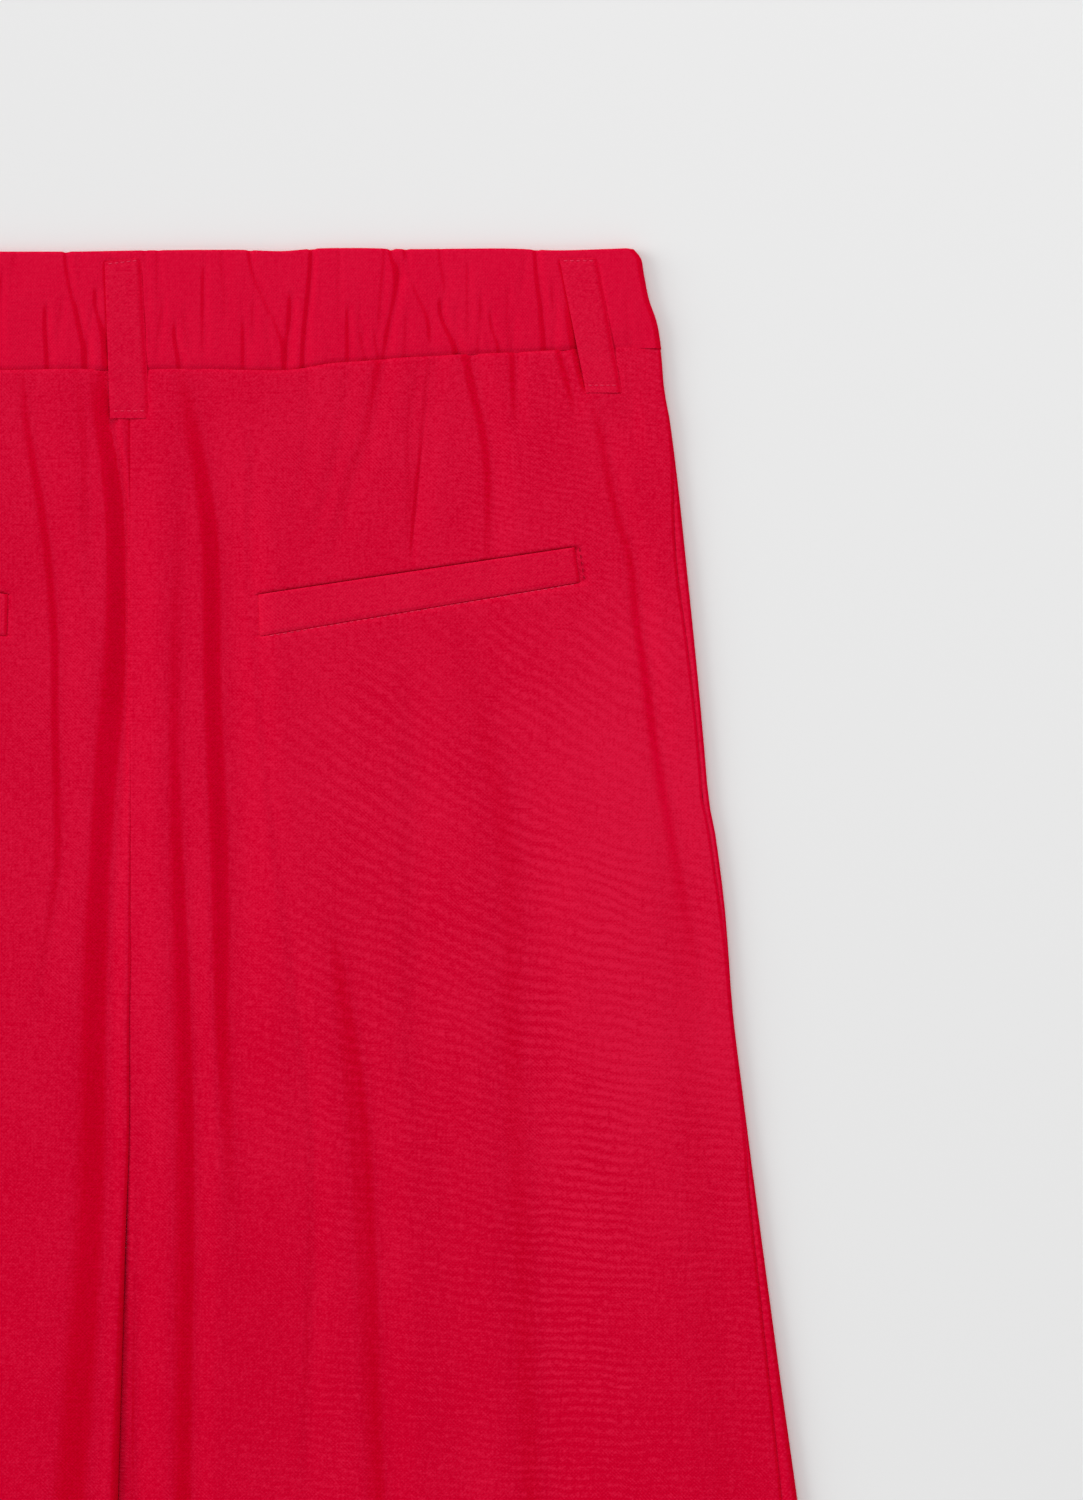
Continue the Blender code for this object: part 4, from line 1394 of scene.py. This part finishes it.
@dataclass(frozen=True)
class StitchLine:
    """A line of stitches, each a short spindle of thread, along points on the cloth."""

    name: str
    points: np.ndarray
    stitch: float
    gap: float
    radius: float

    def build(self, thread: "SewingThread") -> bpy.types.Object:
        """Model one stitch, repeat it and bend the row along the points.

        Args:
            thread: The thread's look.

        Returns:
            The finished piece.
        """
        steps = np.linalg.norm(np.diff(self.points, axis=0), axis=1)
        length = float(steps.sum()) / MM
        count = max(2, int(length / (self.stitch + self.gap)))
        Workbench.clear_selection()
        turned = (0, math.pi / 2, 0)
        bpy.ops.mesh.primitive_uv_sphere_add(segments=6, ring_count=5, radius=1.0, rotation=turned)
        piece = Workbench.added(self.name)
        bpy.ops.object.transform_apply(location=True, rotation=True, scale=True)
        half, radius = self.stitch / 2 * MM, self.radius * MM
        piece.data.transform(Matrix.Diagonal((half, radius, radius, 1.0)))
        piece.data.transform(Matrix.Translation((half, 0.0, 0.0)))
        row = piece.modifiers.new("row", "ARRAY")
        row.count = count
        row.use_relative_offset = False
        row.use_constant_offset = True
        row.constant_offset_displace = (length / count * MM, 0, 0)
        guide = self.guide()
        bend = piece.modifiers.new("bend", "CURVE")
        bend.object = guide
        Workbench.apply_modifiers(piece)
        bpy.data.objects.remove(guide)
        bpy.ops.object.shade_smooth()
        piece.data.materials.append(thread.material())
        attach(piece, "root")
        return piece

    def guide(self) -> bpy.types.Object:
        """The curve that the row of stitches is bent along."""
        line = bpy.data.curves.new(self.name + "_guide", "CURVE")
        line.dimensions = "3D"
        spline = line.splines.new("POLY")
        spline.points.add(len(self.points) - 1)
        spline.points.foreach_set("co", np.c_[self.points, np.ones(len(self.points))].ravel())
        guide = bpy.data.objects.new(self.name + "_guide", line)
        bpy.context.scene.collection.objects.link(guide)
        return guide


def hem_stitches(panel: Panel, thread: "SewingThread") -> None:
    """Sew one panel's turned-up hem.

    Args:
        panel: The panel.
        thread: The thread's look.
    """
    points, _ = panel.lay(CUT.length - CUT.hem_stitch + np.array([-1.0, 0.0, 1.0]))
    normals = outside_normals(points, panel.layer)
    line = (points[1] + normals[1] * CUT.wall / 2 * MM)[3:-3]
    if panel.layer is Layer.FRONT:
        line[:, 2] = np.maximum(line[:, 2], 0.2 * MM)
    StitchLine(panel.name + "_hem_stitches", line, 2.4, 0.8, 0.16).build(thread)


class Signal:
    """A number that flows through a material's nodes, with Python's operators."""

    def __init__(self, sheet: "NodeSheet", socket: bpy.types.NodeSocket) -> None:
        """Wrap a socket.

        Args:
            sheet: The node sheet that it belongs to.
            socket: The output socket.
        """
        self.sheet = sheet
        self.socket = socket

    def math(self, operation: str, *values: "Signal | float") -> "Signal":
        """Add a Math node.

        Args:
            operation: The node's operation.
            values: Its inputs.

        Returns:
            The node's result.
        """
        node = self.sheet.node("ShaderNodeMath", {"operation": operation}, dict(enumerate(values)))
        return Signal(self.sheet, node.outputs[0])

    def __add__(self, other: "Signal | float") -> "Signal":
        """Sum."""
        return self.math("ADD", self, other)

    __radd__ = __add__

    def __sub__(self, other: "Signal | float") -> "Signal":
        """Difference."""
        return self.math("SUBTRACT", self, other)

    def __rsub__(self, other: float) -> "Signal":
        """Difference from a plain number."""
        return self.math("SUBTRACT", other, self)

    def __mul__(self, other: "Signal | float") -> "Signal":
        """Product."""
        return self.math("MULTIPLY", self, other)

    __rmul__ = __mul__

    def __truediv__(self, other: "Signal | float") -> "Signal":
        """Quotient."""
        return self.math("DIVIDE", self, other)

    def sine(self) -> "Signal":
        """Sine of an angle in radians."""
        return self.math("SINE", self)

    def clamp(self) -> "Signal":
        """The value kept between 0 and 1."""
        return self.math("MINIMUM", self.math("MAXIMUM", self, 0.0), 1.0)

    def ramp(self, start: float, width: float) -> "Signal":
        """Rise from 0 at the start to 1 a width further on, level beyond both."""
        return ((self - start) / width).clamp()


Paint = tuple[float, float, float, float] | bpy.types.NodeSocket


class NodeSheet:
    """A material's nodes."""

    def __init__(self, name: str) -> None:
        """Start a material with a Principled shader.

        Args:
            name: The material's name.
        """
        self.material = bpy.data.materials.new(name)
        self.material.use_nodes = True
        self.tree = self.material.node_tree
        self.shader = self.tree.nodes["Principled BSDF"]

    def node(self, kind: str, settings: dict, sockets: dict) -> bpy.types.Node:
        """Add a node.

        Args:
            kind: The node's type.
            settings: Its properties, which are set first.
            sockets: Its input sockets' values, or what they are linked to.

        Returns:
            The node.
        """
        node = self.tree.nodes.new(kind)
        for key, value in settings.items():
            setattr(node, key, value)
        self.plug(node, sockets)
        return node

    def plug(self, node: bpy.types.Node, sockets: dict) -> None:
        """Set or link a node's input sockets.

        Args:
            node: The node.
            sockets: Values, signals or output sockets by the input's name or number.
        """
        for key, value in sockets.items():
            if isinstance(value, Signal):
                value = value.socket
            if isinstance(value, bpy.types.NodeSocket):
                self.tree.links.new(value, node.inputs[key])
            else:
                node.inputs[key].default_value = value

    def signal(self, socket: bpy.types.NodeSocket) -> Signal:
        """Wrap an output socket for use in expressions."""
        return Signal(self, socket)

    def blend(
        self, share: Signal, first: Paint, second: Paint, mode: str = "MIX",
    ) -> bpy.types.NodeSocket:
        """Mix two colours.

        Args:
            share: The second colour's share.
            first: A colour, or the socket that it comes from.
            second: The other colour.
            mode: How the second colour is laid on the first.

        Returns:
            The mixed colour.
        """
        settings = {"data_type": "RGBA", "blend_type": mode}
        return self.node("ShaderNodeMix", settings, {"Factor": share, 6: first, 7: second}).outputs[2]


@dataclass(frozen=True)
class Linen:
    """Crimson linen in a plain weave, matt, with slubs and uneven yarns.

    Flanks that face away from the light on the left get a painted shade: where the attribute that Sheet.sew
    stores says the cloth leans to +X, the colour is multiplied by a deeper red. The tone also holds painted
    shade, darker down the legs, and a painted patch of light over the outer hip and thigh.
    """

    name: str
    light: tuple[float, float, float]
    dark: tuple[float, float, float]
    yarn: float = 0.75
    texture: float = 1.0
    bump: float = 0.5
    relief: float = 0.10
    roughness: float = 0.9
    specular: float = 0.0
    ripple: float = 0.34
    # Painted shade on flanks that lean to +X, away from the side light: where the lean starts, over how much
    # lean it grows, and the deeper red it multiplies by.
    painted_shade_from: float = 0.07
    painted_shade_over: float = 0.16
    painted_shade: tuple[float, float, float] = (1.0, 0.08, 0.6)

    def material(self) -> bpy.types.Material:
        """Make the material, or find it if it is made."""
        made = bpy.data.materials.get(self.name)
        if made:
            return made
        sheet = NodeSheet(self.name)
        across, along = self.grain(sheet)
        weave = self.weave(sheet, across, along)
        slubs = self.slubs(sheet, across, along)
        tone = self.tone(sheet, across, along, weave, slubs)
        colour = sheet.blend(tone.clamp(), (*self.dark, 1.0), (*self.light, 1.0))
        # Painted shade: flanks that lean to +X, away from the side light, are multiplied by a deeper red.
        tilt = sheet.node("ShaderNodeAttribute", {"attribute_name": TILT_MAP}, {})
        painted_shade_share = sheet.signal(tilt.outputs["Fac"]).ramp(self.painted_shade_from, self.painted_shade_over)
        colour = sheet.blend(painted_shade_share, colour, (*self.painted_shade, 1.0), "MULTIPLY")
        height = weave * 0.5 + slubs * 1.2
        sockets = {"Strength": self.bump, "Distance": self.relief * MM, "Height": height}
        relief = sheet.node("ShaderNodeBump", {}, sockets)
        sheet.plug(sheet.shader, {
            "Base Color": colour,
            "Normal": relief.outputs["Normal"],
            "Roughness": self.roughness,
            "Specular IOR Level": self.specular,
            "Sheen Weight": 0.04,
            "Sheen Roughness": 0.5,
            "Sheen Tint": (1.0, 0.01, 0.06, 1.0),
        })
        return sheet.material

    def tone(self, sheet: NodeSheet, across: Signal, along: Signal, weave: Signal, slubs: Signal) -> Signal:
        """How light the yarns are, with painted shade down the legs and a painted patch of light on the outer
        hip, from the dark colour at 0 to the light one at 1.

        Args:
            sheet: The material's nodes.
            across: Place across the grain, in millimetres.
            along: Place along the grain, in millimetres.
            weave: Crowns of the yarns.
            slubs: Thicker lengths of yarn.

        Returns:
            The tone, which can go past 0 and 1.
        """
        blotch = self.noise(sheet, across / 30.0, along / 45.0, 2.0) - 0.5
        ripple = self.tension(sheet, across, along)
        fleck = self.noise(sheet, across / 0.9, along / 0.75, 2.0) - 0.5
        twill = ((along - across) * (2 * math.pi / 1.35)).sine()
        cover = (self.noise(sheet, across / 35.0, along / 50.0, 0.0) - 0.35).clamp()
        dots = self.noise(sheet, across / 2.1, along / 1.6, 1.0) - 0.5
        threads = weave * (0.16 + fleck * 1.3) + slubs * 0.5 + fleck * 1.3 + dots * 0.8
        threads = threads + twill * cover * 0.4
        uneven = 0.55 + dots * 2.2
        # Painted shade: darker down the legs, where the light falls off, less a painted patch of light over
        # the outer hip and thigh.
        painted_shade = along.ramp(215.0, 220.0) * 0.26 - self.painted_light_patch(across, along) * 0.3
        return 0.5 + threads * self.texture + blotch * 0.4 + ripple * uneven * self.ripple - painted_shade

    def grain(self, sheet: NodeSheet) -> tuple[Signal, Signal]:
        """Places across and along the cloth's grain, in millimetres."""
        place = sheet.node("ShaderNodeUVMap", {"uv_map": WEAVE_MAP}, {})
        split = sheet.node("ShaderNodeSeparateXYZ", {}, {"Vector": place.outputs["UV"]})
        across = sheet.signal(split.outputs["X"]) / MM
        along = sheet.signal(split.outputs["Y"]) / MM
        return across, along

    def noise(self, sheet: NodeSheet, x: Signal, y: Signal, detail: float) -> Signal:
        """Smooth noise over a plane.

        Args:
            sheet: The material's nodes.
            x: First co-ordinate.
            y: Second co-ordinate.
            detail: The noise's detail.

        Returns:
            A signal around 0.5.
        """
        place = sheet.node("ShaderNodeCombineXYZ", {}, {"X": x, "Y": y, "Z": 0.0})
        noise = sheet.node(
            "ShaderNodeTexNoise",
            {"noise_dimensions": "2D"},
            {"Vector": place.outputs["Vector"], "Scale": 1.0, "Detail": detail, "Roughness": 0.5},
        )
        return sheet.signal(noise.outputs["Fac"])

    def weave(self, sheet: NodeSheet, across: Signal, along: Signal) -> Signal:
        """Crowns of the yarns where they cross over, from -1 to 1."""
        sway = (self.noise(sheet, across / 6.0, along / 14.0, 1.0) - 0.5) * 0.9
        lift = (self.noise(sheet, across / 15.0, along / 5.0, 1.0) - 0.5) * 0.9
        warp = ((across + sway) * (math.pi / self.yarn)).sine()
        weft = ((along + lift) * (math.pi / self.yarn)).sine()
        return warp * weft

    def slubs(self, sheet: NodeSheet, across: Signal, along: Signal) -> Signal:
        """Thicker lengths of yarn, in both directions, around 0."""
        warp = self.noise(sheet, across / 0.8, along / 9.0, 1.0)
        weft = self.noise(sheet, across / 7.0, along / 0.75, 1.0)
        return (warp - 0.5) * 0.8 + (weft - 0.5)

    def painted_light_patch(self, across: Signal, along: Signal) -> Signal:
        """A painted patch of light over the outer hip and thigh, where the light falls brighter, from 0 to 1.
        """
        down = along.ramp(100.0, 70.0) * (1.0 - along.ramp(310.0, 110.0))
        return across.ramp(135.0, 45.0) * down

    def tension(self, sheet: NodeSheet, across: Signal, along: Signal) -> Signal:
        """Faint ripples of uneven weft tension, which slant down the thigh and then level out.

        Args:
            sheet: The material's nodes.
            across: Place across the grain, in millimetres.
            along: Place along the grain, in millimetres.

        Returns:
            The ripples' strength, from -1 to 1.
        """
        drift = (self.noise(sheet, across / 22.0, along / 26.0, 2.0) - 0.5) * 9.0
        share = along.ramp(165.0, 265.0)
        rows = along * 0.18 + share * share * 14.6 + across.math("MAXIMUM", along - 430.0, 0.0) * 0.11
        steep = along.ramp(190.0, 40.0) * across.ramp(140.0, 20.0)
        slant = (across - 140.0) * (0.113 - share * 0.073 - steep * 0.03)
        ripples = ((rows - slant) * (2 * math.pi) + drift).sine()
        patch = ((self.noise(sheet, across / 38.0, along / 60.0, 1.0) - 0.2) * 2.8).clamp()
        below_pocket = along.ramp(118.0, 22.0)
        on_hip = across.ramp(30.0, 45.0) * 0.7 + 0.3
        fade = 1.0 - along.ramp(330.0, 200.0) * 0.5
        fine = ((along * 0.37 - across * 0.10) * (2 * math.pi) + drift).sine()
        above_pocket = (1.0 - below_pocket) * across.ramp(105.0, 25.0) * 0.7
        stretched = across.ramp(138.0, 14.0) * ((196.0 - across) / 14.0).clamp()
        stretched = stretched * along.ramp(180.0, 30.0) * 0.7 + 1.0
        return (ripples * below_pocket * on_hip * fade * stretched + fine * above_pocket) * patch


@dataclass(frozen=True)
class SewingThread:
    """Sewing thread, a little lighter than the cloth unless it is given other colours."""

    name: str = "crimson_thread"
    light: tuple[float, float, float] = (0.86, 0.055, 0.14)
    dark: tuple[float, float, float] = (0.74, 0.02, 0.075)

    def material(self) -> bpy.types.Material:
        """Make the material, or find it if it is made."""
        made = bpy.data.materials.get(self.name)
        if made:
            return made
        sheet = NodeSheet(self.name)
        place = sheet.node("ShaderNodeTexCoord", {}, {})
        sockets = {"Vector": place.outputs["Object"], "Scale": 900.0, "Detail": 1.0}
        noise = sheet.signal(sheet.node("ShaderNodeTexNoise", {}, sockets).outputs["Fac"])
        colour = sheet.blend(noise, (*self.dark, 1.0), (*self.light, 1.0))
        sheet.plug(sheet.shader, {"Base Color": colour, "Roughness": 0.6, "Specular IOR Level": 0.05})
        return sheet.material


# Thread painted a dark red-black, as painted shade for the stitches sunk in at the welt's outer end.
SHADE_PAINTED_THREAD = SewingThread("crimson_sunken_thread", light=(0.30, 0.003, 0.016), dark=(0.22, 0.001, 0.010))


@dataclass(frozen=True)
class Studio:
    """A pale table top, soft light from the left and from above the waist, and the camera above."""

    millimetres_per_pixel: float = 0.375
    picture: tuple[float, float] = (1083.0, 1500.0)
    centre_pixel: float = 130.0
    waist_pixel: float = 250.0
    camera_height: float = 2.0
    cloth_height: float = 0.0045
    sensor: float = 36.0
    floor_colour: tuple[float, float, float, float] = (0.84, 0.84, 0.84, 1.0)
    softness: float = 40.0
    lamps: tuple[tuple[str, float, float, float], ...] = (
        ("side_light", 172.0, 24.0, 1.46),
        ("top_light", 95.0, 36.0, 1.0),
    )
    panel_place: tuple[float, float, float] = (0.55, 1.45, 1.2)
    panel_aim: tuple[float, float, float] = (0.15, 0.40, 0.0)
    panel_size: float = 1.0
    panel_power: float = 4.2
    sky: float = 0.485

    def build(self) -> None:
        """Set up the floor, the light and the camera."""
        self.floor()
        for lamp in self.lamps:
            self.lamp(*lamp)
        self.panel()
        self.fill()
        self.camera()

    def floor(self) -> None:
        """Add the table top."""
        Workbench.clear_selection()
        bpy.ops.mesh.primitive_plane_add(size=8, location=(0, 0, -0.0002))
        floor = Workbench.added("table_top")
        sheet = NodeSheet("pale_table")
        sheet.plug(sheet.shader, {
            "Base Color": self.floor_colour, "Roughness": 0.9, "Specular IOR Level": 0.05,
        })
        floor.data.materials.append(sheet.material)

    def lamp(self, name: str, azimuth: float, elevation: float, energy: float) -> None:
        """Add a broad, distant light.

        Args:
            name: The light's name.
            azimuth: Direction it comes from, in degrees from +X.
            elevation: Its height over the table, in degrees.
            energy: Its strength.
        """
        turn, rise = math.radians(azimuth), math.radians(elevation)
        level = math.cos(rise)
        towards = Vector((level * math.cos(turn), level * math.sin(turn), math.sin(rise)))
        light = self.shining(name, "SUN", towards * 3, towards)
        light.energy = energy
        light.angle = math.radians(self.softness)

    def panel(self) -> None:
        """Add a soft panel beyond the waist, so that the light falls off towards the hems."""
        place = Vector(self.panel_place)
        light = self.shining("panel_light", "AREA", place, place - Vector(self.panel_aim))
        light.shape = "SQUARE"
        light.size = self.panel_size
        light.energy = self.panel_power

    @staticmethod
    def shining(name: str, kind: str, place: Vector, towards: Vector) -> bpy.types.Light:
        """Add a light.

        Args:
            name: The light's name.
            kind: Its type.
            place: Where it is.
            towards: The direction that its light comes from.

        Returns:
            The light's settings.
        """
        Workbench.clear_selection()
        bpy.ops.object.light_add(type=kind, location=place)
        light = bpy.context.object
        light.name = name
        light.rotation_euler = towards.to_track_quat("Z", "Y").to_euler()
        return light.data

    def fill(self) -> None:
        """Light the rest evenly from all round."""
        world_light = bpy.data.worlds.new("studio")
        world_light.use_nodes = True
        background = world_light.node_tree.nodes["Background"]
        background.inputs["Color"].default_value = (1.0, 1.0, 1.0, 1.0)
        background.inputs["Strength"].default_value = self.sky
        bpy.context.scene.world = world_light

    def camera(self) -> None:
        """Look straight down, framed as the photograph is."""
        width, height = self.picture
        scale = self.millimetres_per_pixel * MM
        x = (width / 2 - self.centre_pixel) * scale
        y = CUT.length / 2 * MM - (height / 2 - self.waist_pixel) * scale
        bpy.ops.object.camera_add(location=(x, y, self.camera_height), rotation=(0, 0, 0))
        camera = bpy.context.object
        camera.name = "camera"
        camera.data.sensor_fit = "VERTICAL"
        camera.data.sensor_height = self.sensor
        camera.data.lens = self.sensor * (self.camera_height - self.cloth_height) / (height * scale)
        bpy.context.scene.camera = camera
        bpy.context.scene.view_settings.view_transform = "Standard"


def main() -> None:
    """Dress the garment and light it."""
    logging.basicConfig(level=logging.INFO, format="%(name)s: %(message)s")
    body = Linen("crimson_panels", light=(0.708, 0.0085, 0.0475), dark=(0.588, 0.0000, 0.0220))
    band = Linen(
        "crimson_waistband", light=(0.715, 0.0070, 0.0440), dark=(0.625, 0.0006, 0.0270),
        texture=0.75, ripple=0.0,
    )
    trim = Linen("crimson_trim", light=(0.718, 0.0095, 0.0480), dark=(0.610, 0.0006, 0.0260), ripple=0.0)
    thread = SewingThread()
    for leg in (RIGHT_LEG, LEFT_LEG):
        back = Panel(leg, Layer.BACK, CUT.waist_seam, 140, 3.1, 6.4)
        front = Panel(leg, Layer.FRONT, CUT.front_waist_seam, 56, 8.0, 12.0)
        for panel in (back, front):
            panel.build(body)
            hem_stitches(panel, thread)
        welt = PocketWelt(leg)
        welt.build(trim)
        welt.stitches(thread)
    for layer in Layer:
        WAISTBAND.build(layer, band)
    for place in LOOPS:
        loop = BeltLoop(place)
        loop.build(trim)
        loop.stitches(thread)
    Studio().build()


if __name__ == "__main__":
    main()
